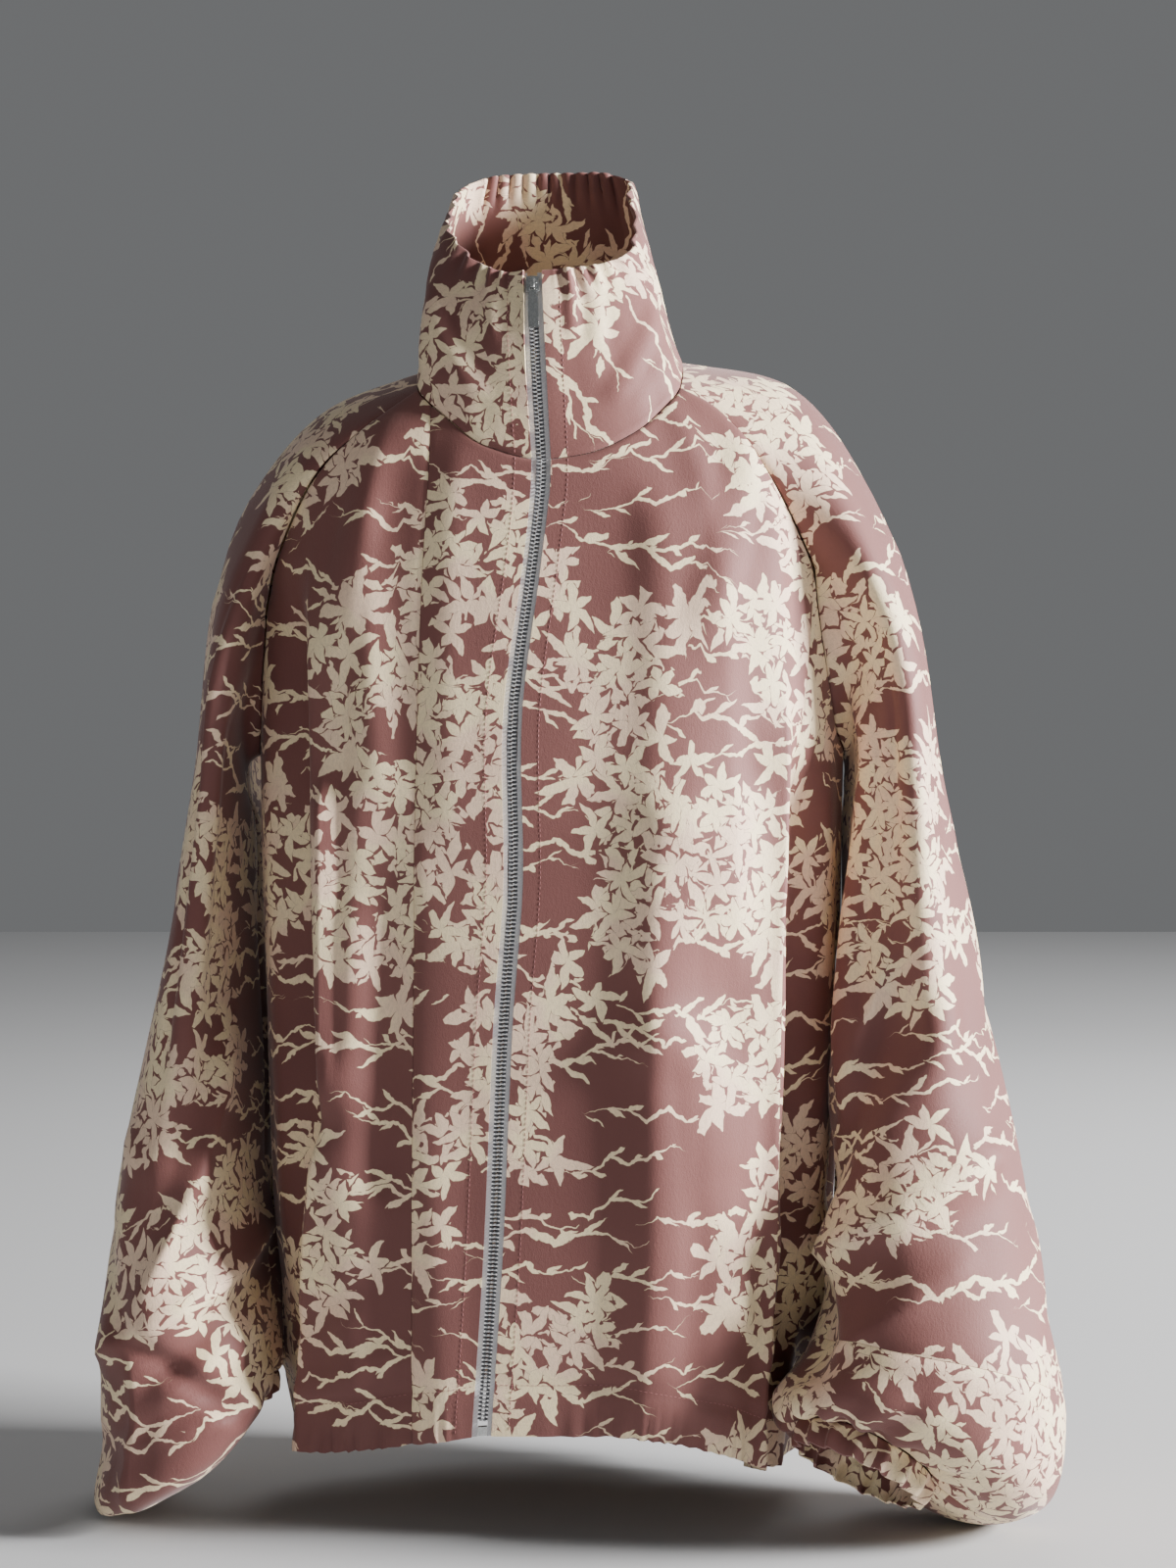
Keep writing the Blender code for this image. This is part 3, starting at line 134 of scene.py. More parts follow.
def softNoise(u, v, sizeU, sizeV, seed):
    # smooth unevenness from -1 to 1, the same each run
    grid = np.random.default_rng(seed).uniform(-1, 1, (64, 64))
    a, b = np.asarray(u) / sizeU, np.asarray(v) / sizeV
    i, j = np.floor(a).astype(int), np.floor(b).astype(int)
    s, t = smoothStep(a - i), smoothStep(b - j)
    i, j, i2, j2 = i % 64, j % 64, (i + 1) % 64, (j + 1) % 64
    return ((grid[i, j] * (1 - s) + grid[i2, j] * s) * (1 - t)
            + (grid[i, j2] * (1 - s) + grid[i2, j2] * s) * t)


def foldHeight(folds, along, height, fade=0.07):
    # how far out the folds push points that lie `along` round the cloth
    total = np.zeros(np.broadcast(along, height).shape)
    for aAt, aZ, bAt, bZ, rise, near, far, *ridge in folds:
        run = np.array([bAt - aAt, bZ - aZ])
        length = np.linalg.norm(run)
        run = run / length
        travelled = (along - aAt) * run[0] + (height - aZ) * run[1]
        aside = (along - aAt) * -run[1] + (height - aZ) * run[0]
        share = np.minimum(np.abs(aside) / (np.where(aside > 0, far, near) * 2.2), 1.0)
        past = np.maximum(np.maximum(-travelled, travelled - length), 0.0)
        across = (1 - share) ** 2 if ridge else (1 - share * share) ** 2
        total += rise * across * smoothStep(1 - past / fade)
    return total


def surfaceNormals(points, closed=False, turned=1):
    # outward normals of a grid of points, rows by columns
    if closed:
        across = np.roll(points, -1, axis=1) - np.roll(points, 1, axis=1)
    else:
        across = np.gradient(points, axis=1)
    return unit(np.cross(across, -np.gradient(points, axis=0))) * turned


# ---- the body's surface: level sections, seam lines and folds, all in the maker's sizes

body = dict(
    levels={
        "z": (.04, 0.0, -.018, -.05, -.085, -.13, -.2, -.27,
              -.36, -.45, -.55, -.65, -.73),
        "left": (.09, .112, .128, .16, .177, .186, .189, .188,
                 .187, .1855, .178, .159, .151),
        "right": (.09, .112, .13, .165, .181, .189, .192, .192,
                  .19, .187, .181, .17, .164),
        "front": (.06, .074, .083, .1, .108, .115, .121, .124,
                  .125, .124, .121, .116, .11),
        "back": (.066, .076, .084, .098, .108, .116, .123, .127,
                 .128, .127, .122, .116, .11)},
    squareness=2.5, foldRadius=.155, underarm=-.25, edgeToZip=.006,
    zipLine={"z": (-.069, -.132, -.234, -.318, -.419, -.556, -.67),
             "x": (-.005, -.015, -.024, -.0215, -.028, -.034, -.0415)},
    seamLine={left: {"z": (-.133, -.208, -.307, -.393, -.55, -.715),
                     "x": (.168, .158, .1465, .1405, .137, .129)},
              right: {"z": (-.03, -.124, -.306, -.642, -.7),
                      "x": (-.0745, -.0806, -.0828, -.0852, -.086)}},
    creaseLine={"z": (-.15, -.24, -.45, -.53, -.64, -.7),
                "x": (-.15, -.137, -.135, -.142, -.15, -.151)},
    neckFront={"x": (-.09, -.07, -.04, -.005, .02, .055, .09),
               "z": (-.015, -.036, -.06, -.069, -.066, -.05, -.012)},
    neckBack={"x": (0.0, .035, .07), "z": (.022, .019, .006)},
    raglan={left: {"x": (.0815, .1, .117, .131, .145, .157, .168),
                   "z": (-.0195, -.03, -.047, -.065, -.086, -.109, -.133)},
            right: {"x": (.083, .103, .121, .145, .162, .175, .183),
                    "z": (-.0205, -.035, -.048, -.071, -.099, -.13, -.16)},
            "back": {"x": (.066, .095, .125, .15, .17, .182),
                     "z": (.008, -.02, -.058, -.105, -.15, -.195)}},
    hem={"bearing": (-180, -120, -90, -55, -20, -8, 10, 35, 60, 90, 130, 180),
         "z": (-.692, -.692, -.694, -.69, -.676, -.671, -.671, -.684,
               -.706, -.715, -.7, -.692)},
    # each fold: its two ends, its rise, its reach towards the zip and away from it, and crisp if it is
    frontFolds=(
        (-.148, -.18, -.1365, -.415, .007, .036, .01, crisp),
        (-.136, -.485, -.151, -.72, .009, .044, .01, crisp),
        (-.162, -.2, -.1535, -.425, -.016, .012, .026),
        (-.1525, -.495, -.16, -.73, -.014, .012, .022),
        (-.08, -.09, -.083, -.27, -.003, .01, .016),
        (-.104, -.06, -.1, -.3, .004, .018, .014),
        (.144, -.26, .14, -.465, .009, .022, .01, crisp),
        (.1385, -.535, .131, -.74, .01, .022, .01, crisp),
        (.16, -.3, .156, -.485, -.017, .013, .022),
        (.154, -.555, .143, -.74, -.019, .013, .022),
        (.096, -.03, .124, -.15, .006, .022, .02),
        (.124, -.15, .118, -.33, .006, .022, .02),
        (.104, -.06, .13, -.34, -.004, .01, .014),
        (.084, -.13, .081, -.235, .005, .026, .022),
        (.078, -.305, .066, -.385, .007, .03, .024),
        (.063, -.455, .06, -.64, .008, .032, .024),
        (-.055, -.36, -.06, -.66, .003, .018, .018)),
    backFolds=(
        (.15, -.17, .125, -.66, .012, .02, .028, crisp),
        (-.152, -.17, -.135, -.65, .011, .02, .028, crisp),
        (.095, -.24, .082, -.7, -.009, .03, .026),
        (-.09, -.22, -.105, -.69, -.008, .03, .026),
        (.035, -.33, .028, -.72, .006, .03, .024),
        (-.038, -.3, -.052, -.7, .006, .028, .028),
        (.178, -.33, .172, -.56, .008, .014, .012),
        (.172, -.6, .15, -.73, .02, .02, .018),
        (-.168, -.655, -.158, -.73, .011, .018, .016)),
    fineFrontFolds=(
        (.072, -.11, .076, -.29, .0032, .011, .014),
        (.074, -.3, .064, -.42, .0052, .012, .02),
        (.062, -.43, .06, -.66, .006, .013, .024),
        (.036, -.32, .03, -.64, -.0034, .012, .012),
        (.098, -.16, .12, -.07, .0022, .007, .009),
        (.096, -.45, .099, -.69, .0034, .01, .016),
        (.116, -.29, .112, -.5, .0034, .012, .012),
        (.112, -.54, .108, -.7, .004, .012, .012),
        (.015, -.52, .008, -.66, .0018, .008, .009),
        (-.036, -.08, -.04, -.29, .0042, .009, .015),
        (-.1365, -.29, -.135, -.45, .0095, .022, .008, crisp),
        (-.14, -.51, -.15, -.69, .0095, .024, .008, crisp),
        (-.095, -.08, -.09, -.25, -.002, .007, .007),
        (-.098, -.3, -.1, -.5, -.003, .01, .011),
        (-.115, -.36, -.118, -.66, .0036, .008, .013),
        (-.104, -.54, -.098, -.68, .0024, .008, .009),
        (-.124, -.21, -.126, -.42, -.0034, .007, .008, crisp),
        (-.118, -.11, -.134, -.19, .003, .009, .009),
        (-.15, -.655, -.102, -.63, .0022, .006, .006),
        (-.155, -.62, -.125, -.59, -.002, .007, .007),
        (.14, -.64, .115, -.6, .0022, .007, .007),
        (.118, -.69, .085, -.655, .002, .008, .008),
        (.188, -.25, .188, -.36, .0036, .012, .012)),
    fineBackFolds=(
        (.176, -.45, .174, -.56, .01, .014, .012),
        (-.174, -.555, -.168, -.64, .01, .014, .012)),
    columnsFront=20, neckColumn=6, columnsBack=19, raglanColumns=14, shoulderColumns=4,
    fine=5, rows=150, rowPower=1.25, lowest=-.7, settledBy=.4, lineFade=14,
    wall=.0013, halfGap=.00015, seamDip=.0009, casing=.032,
    # the cloth's unevenness: sizes along and down, height; more of it lower down; none beside the zip
    slackSize=(.034, .22), slack=.0008, lowSlack=.002, lowFrom=-.12, lowDepth=.45,
    rippleSize=(.015, .07), ripple=.0004, zipBearing=-4, zipFlat=5, zipFade=14)
seamColumn = {left: 13, right: 5}
creaseColumn = 10
sideBearing, backBearing = 90.0, 180.0


def bodySection(height):
    return {name: smoothThrough(body["levels"], "z", name, height)
            for name in ("left", "right", "front", "back")}


def bearingAt(x, height, back=False):
    # degrees from the centre front of the point at x on a level
    reach = bodySection(height)
    width = np.where(np.asarray(x) > 0, reach["left"], reach["right"])
    share = np.minimum(np.abs(x) / width, 1.0) ** (body["squareness"] / 2)
    angle = np.degrees(np.arcsin(share))
    angle = np.where(back, backBearing - angle, angle)
    return np.where(np.asarray(x) >= 0, angle, -angle)


def plainBody(bearing, height):
    reach = bodySection(height)
    across, depth = np.sin(np.radians(bearing)), np.cos(np.radians(bearing))
    width = np.where(across > 0, reach["left"], reach["right"])
    deep = np.where(depth > 0, reach["front"], reach["back"])
    x, y = (size * squared(wave, body["squareness"]) for size, wave in ((width, across), (-deep, depth)))
    return np.stack(np.broadcast_arrays(x, y, height), axis=-1)


def foldsRoundBody(folds, back):
    # fold rows by x and height, as rows by the way round the body
    rows = []
    for xA, zA, xB, zB, rise, near, far, *ridge in folds:
        a, b = (math.radians(float(bearingAt(x, max(z, body["lowest"]), back))) * body["foldRadius"]
                for x, z in ((xA, zA), (xB, zB)))
        first, second = (near, far) if (xA > 0) != back else (far, near)
        rows.append((a, zA, b, zB, rise, first, second, *ridge))
    return rows


bodyFolds = foldsRoundBody(body["frontFolds"], False) + foldsRoundBody(body["backFolds"], True)
fineFolds = foldsRoundBody(body["fineFrontFolds"], False) + foldsRoundBody(body["fineBackFolds"], True)


def foldedBody(bearing, height):
    ahead = plainBody(bearing + 0.5, height) - plainBody(bearing - 0.5, height)
    outward = unit(np.stack([ahead[..., 1], -ahead[..., 0], np.zeros(ahead.shape[:-1])], axis=-1))
    along = np.radians(bearing) * body["foldRadius"]
    rise = foldHeight(bodyFolds, along, height) + foldHeight(fineFolds, along, height, fade=0.035)
    slack = body["slack"] + body["lowSlack"] * smoothStep((body["lowFrom"] - height) / body["lowDepth"])
    rise = rise + softNoise(along + 3, height + 3, *body["slackSize"], 5) * slack
    rise = rise + softNoise(along + 3, height + 3, *body["rippleSize"], 6) * body["ripple"]
    calm = smoothStep((np.abs(bearing - body["zipBearing"]) - body["zipFlat"]) / body["zipFade"])
    return plainBody(bearing, height) + outward * (rise * calm)[..., None]


def evenAlong(course, count):
    # bearing and height pairs at even lengths along a course of them
    course = np.asarray(course, float)
    share = np.linspace(0, len(course) - 1, (len(course) - 1) * 12 + 1)
    fineCourse = np.stack([np.interp(share, np.arange(len(course)), column) for column in course.T], axis=1)
    points = plainBody(*fineCourse.T)
    length = np.concatenate([[0], np.cumsum(np.linalg.norm(np.diff(points, axis=0), axis=1))])
    goal = np.linspace(0, length[-1], count + 1)
    return np.stack([np.interp(goal, length, column) for column in fineCourse.T], axis=1)


def raglanCourse(side, back):
    # bearing and height down the raglan seam, then round under the arm
    table = body["raglan"]["back" if back else side]
    x = np.linspace(table["x"][0], table["x"][-1], 25)
    height = smoothThrough(table, "x", "z", x)
    upper = np.stack([bearingAt(side * x, height, back), height], axis=1)
    t = np.arange(1, 9) / 8 * math.pi / 2
    turn = upper[-1]
    lower = np.stack([turn[0] + (side * sideBearing - turn[0]) * (1 - np.cos(t)) ** 0.9,
                      turn[1] + (body["underarm"] - turn[1]) * np.sin(t)], axis=1)
    return np.concatenate([upper, lower])


def frontTops(side):
    # top bearing and height of each column of a front, from the zip to the underarm
    fine, neck = body["fine"], body["neckColumn"]
    zipEdge = float(smoothThrough(body["zipLine"], "z", "x", body["zipLine"]["z"][0]))
    zipEdge += side * body["edgeToZip"]
    course = raglanCourse(side, False)
    jointX = plainBody(*course[0])[0]
    if side == right:
        seamX = body["seamLine"][right]["x"][0]
        x = np.interp(np.arange(neck * fine) / fine, (0, neck - 1, neck), (zipEdge, seamX, jointX))
    else:
        x = zipEdge + (jointX - zipEdge) * np.arange(neck * fine) / (neck * fine)
    height = smoothThrough(body["neckFront"], "x", "z", x)
    tops = [np.stack([bearingAt(x, height), height], axis=1)]
    if side == left:
        tops.append(evenAlong(course[:25], (seamColumn[left] - neck) * fine))
        tops.append(evenAlong(course[24:], (body["columnsFront"] - seamColumn[left]) * fine)[1:])
    else:
        tops.append(evenAlong(course, body["raglanColumns"] * fine))
    return np.concatenate(tops)


def backTops(side):
    fine, table = body["fine"], body["neckBack"]
    course = raglanCourse(side, True)
    tops = evenAlong(course, body["raglanColumns"] * fine)[::-1]
    jointX = abs(plainBody(*course[0])[0])
    rest = (body["columnsBack"] - body["raglanColumns"]) * fine
    x = jointX * (1 - np.arange(1, rest + 1) / rest)
    height = smoothThrough(table, "x", "z", x)
    height = height + (course[0, 1] - smoothThrough(table, "x", "z", jointX)) * x / jointX
    bearing = side * (backBearing - np.abs(bearingAt(x, height)))
    return np.concatenate([tops, np.stack([bearing, height], axis=1)])


def frontLine(side, column, height):
    # bearing that a front's column takes once it is clear of the armhole
    def lineBearing(line):
        return bearingAt(smoothThrough(line, "z", "x", height), height)

    low = np.minimum(height, -0.07)
    zipX = smoothThrough(body["zipLine"], "z", "x", low)
    stops = [(0, bearingAt(zipX + side * body["edgeToZip"], low)),
             (seamColumn[side], lineBearing(body["seamLine"][side]))]
    if side == right:
        stops.append((creaseColumn, lineBearing(body["creaseLine"])))
    stops.append((body["columnsFront"], side * sideBearing + 0 * height))
    result = stops[0][1]
    for (a, first), (b, second) in zip(stops, stops[1:]):
        share = np.clip((column - a) / (b - a), 0, 1)
        result = np.where(column >= a, first + (second - first) * share, result)
    return result


def backLine(side, column, height):
    share = column / body["columnsBack"]
    return side * (sideBearing + (backBearing - sideBearing) * share) + 0 * height


def bodyGrid(tops, line, side):
    # bearing and height of every point of a panel, from its top to its hem
    down = ((np.arange(body["rows"] + 1) / body["rows"]) ** body["rowPower"])[:, None]
    column = (np.arange(len(tops)) / body["fine"])[None, :]
    topBearing, topHeight = tops.T[:, None, :]
    back = np.abs(topBearing) > sideBearing
    topX = plainBody(topBearing, topHeight)[..., 0]
    hemBearing = line(side, column, body["lowest"] + 0 * column)
    height = topHeight + (smoothThrough(body["hem"], "bearing", "z", hemBearing) - topHeight) * down
    settled = 1 - (1 - np.minimum(down / body["settledBy"], 1.0)) ** 2
    straight = smoothStep((np.abs(np.abs(topBearing) - sideBearing) - 2) / body["lineFade"])
    start = topBearing + (bearingAt(topX + 0 * height, height, back) - topBearing) * straight
    bearing = start + (line(side, column + 0 * height, height) - start) * settled
    return bearing, height


# ---- thin closed walls

def wallMesh(name, outer, inner, cut, closed=False):
    # a closed shell between two grids, with the cut's own flat coordinates as its UV map
    rows, columns = outer.shape[:2]
    wide = columns if closed else columns - 1
    number = np.arange(rows * columns).reshape(rows, columns)
    here, nxt = number[:, :wide], np.roll(number, -1, axis=1)[:, :wide]
    shift = rows * columns
    walls = [np.stack([here[:-1], here[1:], nxt[1:], nxt[:-1]], -1).reshape(-1, 4),
             np.stack([nxt[:-1], nxt[1:], here[1:], here[:-1]], -1).reshape(-1, 4) + shift]
    rims = [np.stack([here[0] + shift, here[0], nxt[0], nxt[0] + shift], -1),
            np.stack([here[-1], here[-1] + shift, nxt[-1] + shift, nxt[-1]], -1)]
    if not closed:
        a, b = number[:, 0], number[:, -1]
        rims += [np.stack([a[:-1], a[:-1] + shift, a[1:] + shift, a[1:]], -1),
                 np.stack([b[:-1] + shift, b[:-1], b[1:], b[1:] + shift], -1)]
    faces = np.concatenate(walls + rims)
    mesh = bpy.data.meshes.new(name)
    points = np.concatenate([outer.reshape(-1, 3), inner.reshape(-1, 3)])
    mesh.from_pydata(points.tolist(), [], faces.tolist())
    mesh.polygons.foreach_set("use_smooth", np.arange(len(faces)) < sum(map(len, walls)))
    values = np.concatenate([cut.reshape(-1, 2)] * 2)[faces.reshape(-1)]
    if closed:   # carry the wrap's last column past the end, not back to the start
        us = values[:, 0].reshape(-1, 4)
        span = cut[..., 0].max() - cut[..., 0].min()
        wrapped = us.max(axis=1, keepdims=True) - us > span * 0.5
        values[:, 0] += (wrapped * span * columns / (columns - 1)).reshape(-1)
    mesh.uv_layers.new(name="cut").data.foreach_set("uv", values.reshape(-1))
    thing = addThing(name, mesh)
    bm = bmesh.new()
    bm.from_mesh(mesh)
    if bm.calc_volume(signed=True) < 0:
        bmesh.ops.reverse_faces(bm, faces=bm.faces)
    for edge in bm.edges:   # the rims keep a crisp edge
        if len(edge.link_faces) == 2 and edge.link_faces[0].smooth != edge.link_faces[1].smooth:
            edge.smooth = False
    bm.to_mesh(mesh)
    bm.free()
    return thing


def gridLengths(points):
    # lengths along the rows and down the columns, in metres
    across = np.linalg.norm(np.diff(points, axis=1), axis=2)
    down = np.linalg.norm(np.diff(points, axis=0), axis=2)
    u = np.concatenate([np.zeros((len(points), 1)), np.cumsum(across, axis=1)], axis=1)
    v = np.concatenate([np.zeros((1, points.shape[1])), np.cumsum(down, axis=0)], axis=0)
    return u, v


flattening = dict(spacing=0.024, rounds=1500, haste=1.7)


def pullTogether(flat, goal, rowStep, columnStep, push, count):
    # moves both ends of each link towards its true length
    rows, columns = flat.shape[:2]
    up = slice(max(0, -rowStep), rows - max(0, rowStep))
    down = slice(max(0, rowStep), rows - max(0, -rowStep))
    near, far = slice(0, columns - columnStep), slice(columnStep, columns)
    link = flat[down, far] - flat[up, near]
    length = np.sqrt((link * link).sum(-1)) + 1e-9
    shift = link * (0.5 * (1 - goal / length))[..., None]
    push[up, near] += shift
    push[down, far] -= shift
    count[up, near] += 1
    count[down, far] += 1


def flatCut(points):
    # the panel laid flat with its lengths kept, as the cloth was cut; the middle column runs down
    u, v = gridLengths(points)
    rows, columns = points.shape[:2]
    tall, wide = (max(5, int(reach / flattening["spacing"]) + 1) for reach in (v[-1].max(), u[:, -1].max()))
    r, c = (np.unique(np.linspace(0, count - 1, min(knots, count)).round().astype(int))
            for count, knots in ((rows, tall), (columns, wide)))
    knots = points[np.ix_(r, c)]
    across, down = np.diff(u[np.ix_(r, c)], axis=1), np.diff(v[np.ix_(r, c)], axis=0)
    eastward, southward = unit(np.diff(knots, axis=1)), unit(np.diff(knots, axis=0))
    lean = (eastward[:-1] * southward[:, :-1]).sum(-1)
    wideLink, tallLink = (across[:-1] + across[1:]) / 2, (down[:, :-1] + down[:, 1:]) / 2
    falling, rising = (np.sqrt(wideLink ** 2 + tallLink ** 2 + way * 2 * wideLink * tallLink * lean)
                       for way in (1, -1))
    links = ((across, 0, 1), (down, 1, 0), (falling, 1, 1), (rising, -1, 1))
    middle = len(c) // 2
    above = v[-1] - v   # the foot starts level, and each column rises from it by its own length
    flat = np.stack([u[np.ix_(r, c)] - u[np.ix_(r, c[middle:middle + 1])], above[np.ix_(r, c)]], -1)
    for _ in range(flattening["rounds"]):
        push, count = np.zeros_like(flat), np.zeros(flat.shape[:2])
        for goal, rowStep, columnStep in links:
            pullTogether(flat, goal, rowStep, columnStep, push, count)
        flat = flat + push / count[..., None] * flattening["haste"]
    run = unit(flat[-1, middle] - flat[0, middle])
    flat = np.stack([flat[..., 0] * -run[1] + flat[..., 1] * run[0],
                     flat[..., 0] * run[0] + flat[..., 1] * run[1]], -1)
    flat = flat - flat[0, middle]
    # between the knots the cloth keeps its share of the length
    i = np.clip(np.searchsorted(r, np.arange(rows), side="right") - 1, 0, len(r) - 2)
    j = np.clip(np.searchsorted(c, np.arange(columns), side="right") - 1, 0, len(c) - 2)
    t = ((v - v[r[i]]) / np.maximum(v[r[i + 1]] - v[r[i]], 1e-9))[..., None]
    w = ((u - u[:, c[j]]) / np.maximum(u[:, c[j + 1]] - u[:, c[j]], 1e-9))[..., None]
    i, j = i[:, None], j[None, :]
    return ((flat[i, j] * (1 - w) + flat[i, j + 1] * w) * (1 - t)
            + (flat[i + 1, j] * (1 - w) + flat[i + 1, j + 1] * w) * t)


# ---- pieces of cloth

cloth = []
panels = {}    # each panel's points before and after its seams dip, and normals, for stitches and zip
topEdges = {}  # each half's top row of points, from the zip to the centre back
everyEdge = ("top", "foot", "start", "end")


def hungSheet(outer, cut):
    # a hung piece's cut width and height, and the cloth in it
    spots = cut.reshape(-1, 2)
    wide, tall = map(float, spots.max(axis=0) - spots.min(axis=0))
    corners = np.cross(np.diff(outer[:-1], axis=1), np.diff(outer[:, :-1], axis=0))
    area = float(np.linalg.norm(corners, axis=-1).sum())
    return dict(flat=(wide, tall), held="hung", area=min(area, wide * tall))


def addCloth(node, outer, inner, cut, sheet, closed=False):
    thing = wallMesh(node + "_cloth", outer, inner, cut, closed)
    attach(thing, "jacket")
    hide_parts(node)
    cloth.append(thing)


def addPanel(node, points, normals, sewn):
    # sewn: the edges where the panel meets another
    outer, every = points.copy(), slice(None)
    # each edge's own row or column, and the one inside it
    edges = {"top": ((0, every), (1, every)), "foot": ((-1, every), (-2, every)),
             "start": ((every, 0), (every, 1)), "end": ((every, -1), (every, -2))}
    gaps = [(*edges[edge], unit(points[edges[edge][1]] - points[edges[edge][0]]) * body["halfGap"])
            for edge in sewn]
    for here, following, gap in gaps:
        outer[here] += gap
        outer[here] -= normals[here] * body["seamDip"]
        outer[following] -= normals[following] * body["seamDip"] * 0.25
    inner = outer - normals * body["wall"]
    for here, following, gap in gaps:   # the seam closes on the inside, so that no light comes through it
        inner[here] -= gap
    shift = rng.uniform(0, 7, 2)
    cut = flatCut(points)
    addCloth(node, outer, inner, cut + shift, hungSheet(outer, cut))
    panels[node] = dict(plain=points, points=outer, normals=normals)


# ---- fronts and backs

hemWaves = dict(radius=0.19, pitch=0.0115, rise=0.0022, reach=0.030, tuck=0.0016, tuckReach=0.007,
                share={left: 0.55, right: 1.0})


def hemGathers(points, bearing, side):
    # the elastic in the hem draws the edge into small uneven waves
    v = gridLengths(points)[1]
    above = v[-1] - v
    along = np.radians(bearing) * hemWaves["radius"]
    strength = 0.5 + 0.5 * softNoise(along + 4, 0 * along, 0.06, 1.0, 9)
    strength = strength * hemWaves["share"][side] * smoothStep((np.abs(bearing + 8) - 4) / 8)
    phase = along / hemWaves["pitch"] + softNoise(along + 4, 0 * along, 0.03, 1.0, 10) * 0.8
    edge = np.sin(2 * math.pi * phase) * hemWaves["rise"] * smoothStep(1 - above / hemWaves["reach"])
    tuck = -hemWaves["tuck"] * smoothStep(1 - np.abs(above - body["casing"]) / hemWaves["tuckReach"])
    return points + surfaceNormals(points, turned=side) * (edge * strength + tuck)[..., None]


def makeHalf(side):
    word, fine = sideWord[side], body["fine"]
    frontB, frontH = bodyGrid(frontTops(side), frontLine, side)
    backB, backH = bodyGrid(backTops(side), backLine, side)
    bearing = np.concatenate([frontB, backB[:, 1:]], axis=1)
    height = np.concatenate([frontH, backH[:, 1:]], axis=1)
    points = hemGathers(foldedBody(bearing, height), bearing, side)
    normals = surfaceNormals(points, turned=side)
    normals[:, -1] = unit(normals[:, -1] * (0, 1, 1))
    topEdges[side] = points[0]
    seam, under = seamColumn[side] * fine, body["columnsFront"] * fine
    for node, first, last, sewn in (
            (f"front_{word}_centre", 0, seam, ("top", "end")),
            (f"front_{word}_side", seam, under, ("top", "start")),
            (f"back_{word}", under, under + body["columnsBack"] * fine, ("top", "end"))):
        addPanel(node, points[:, first:last + 1], normals[:, first:last + 1], sewn)


for side in (left, right):
    makeHalf(side)
print("body panels made:", len(cloth))


# ---- sleeves

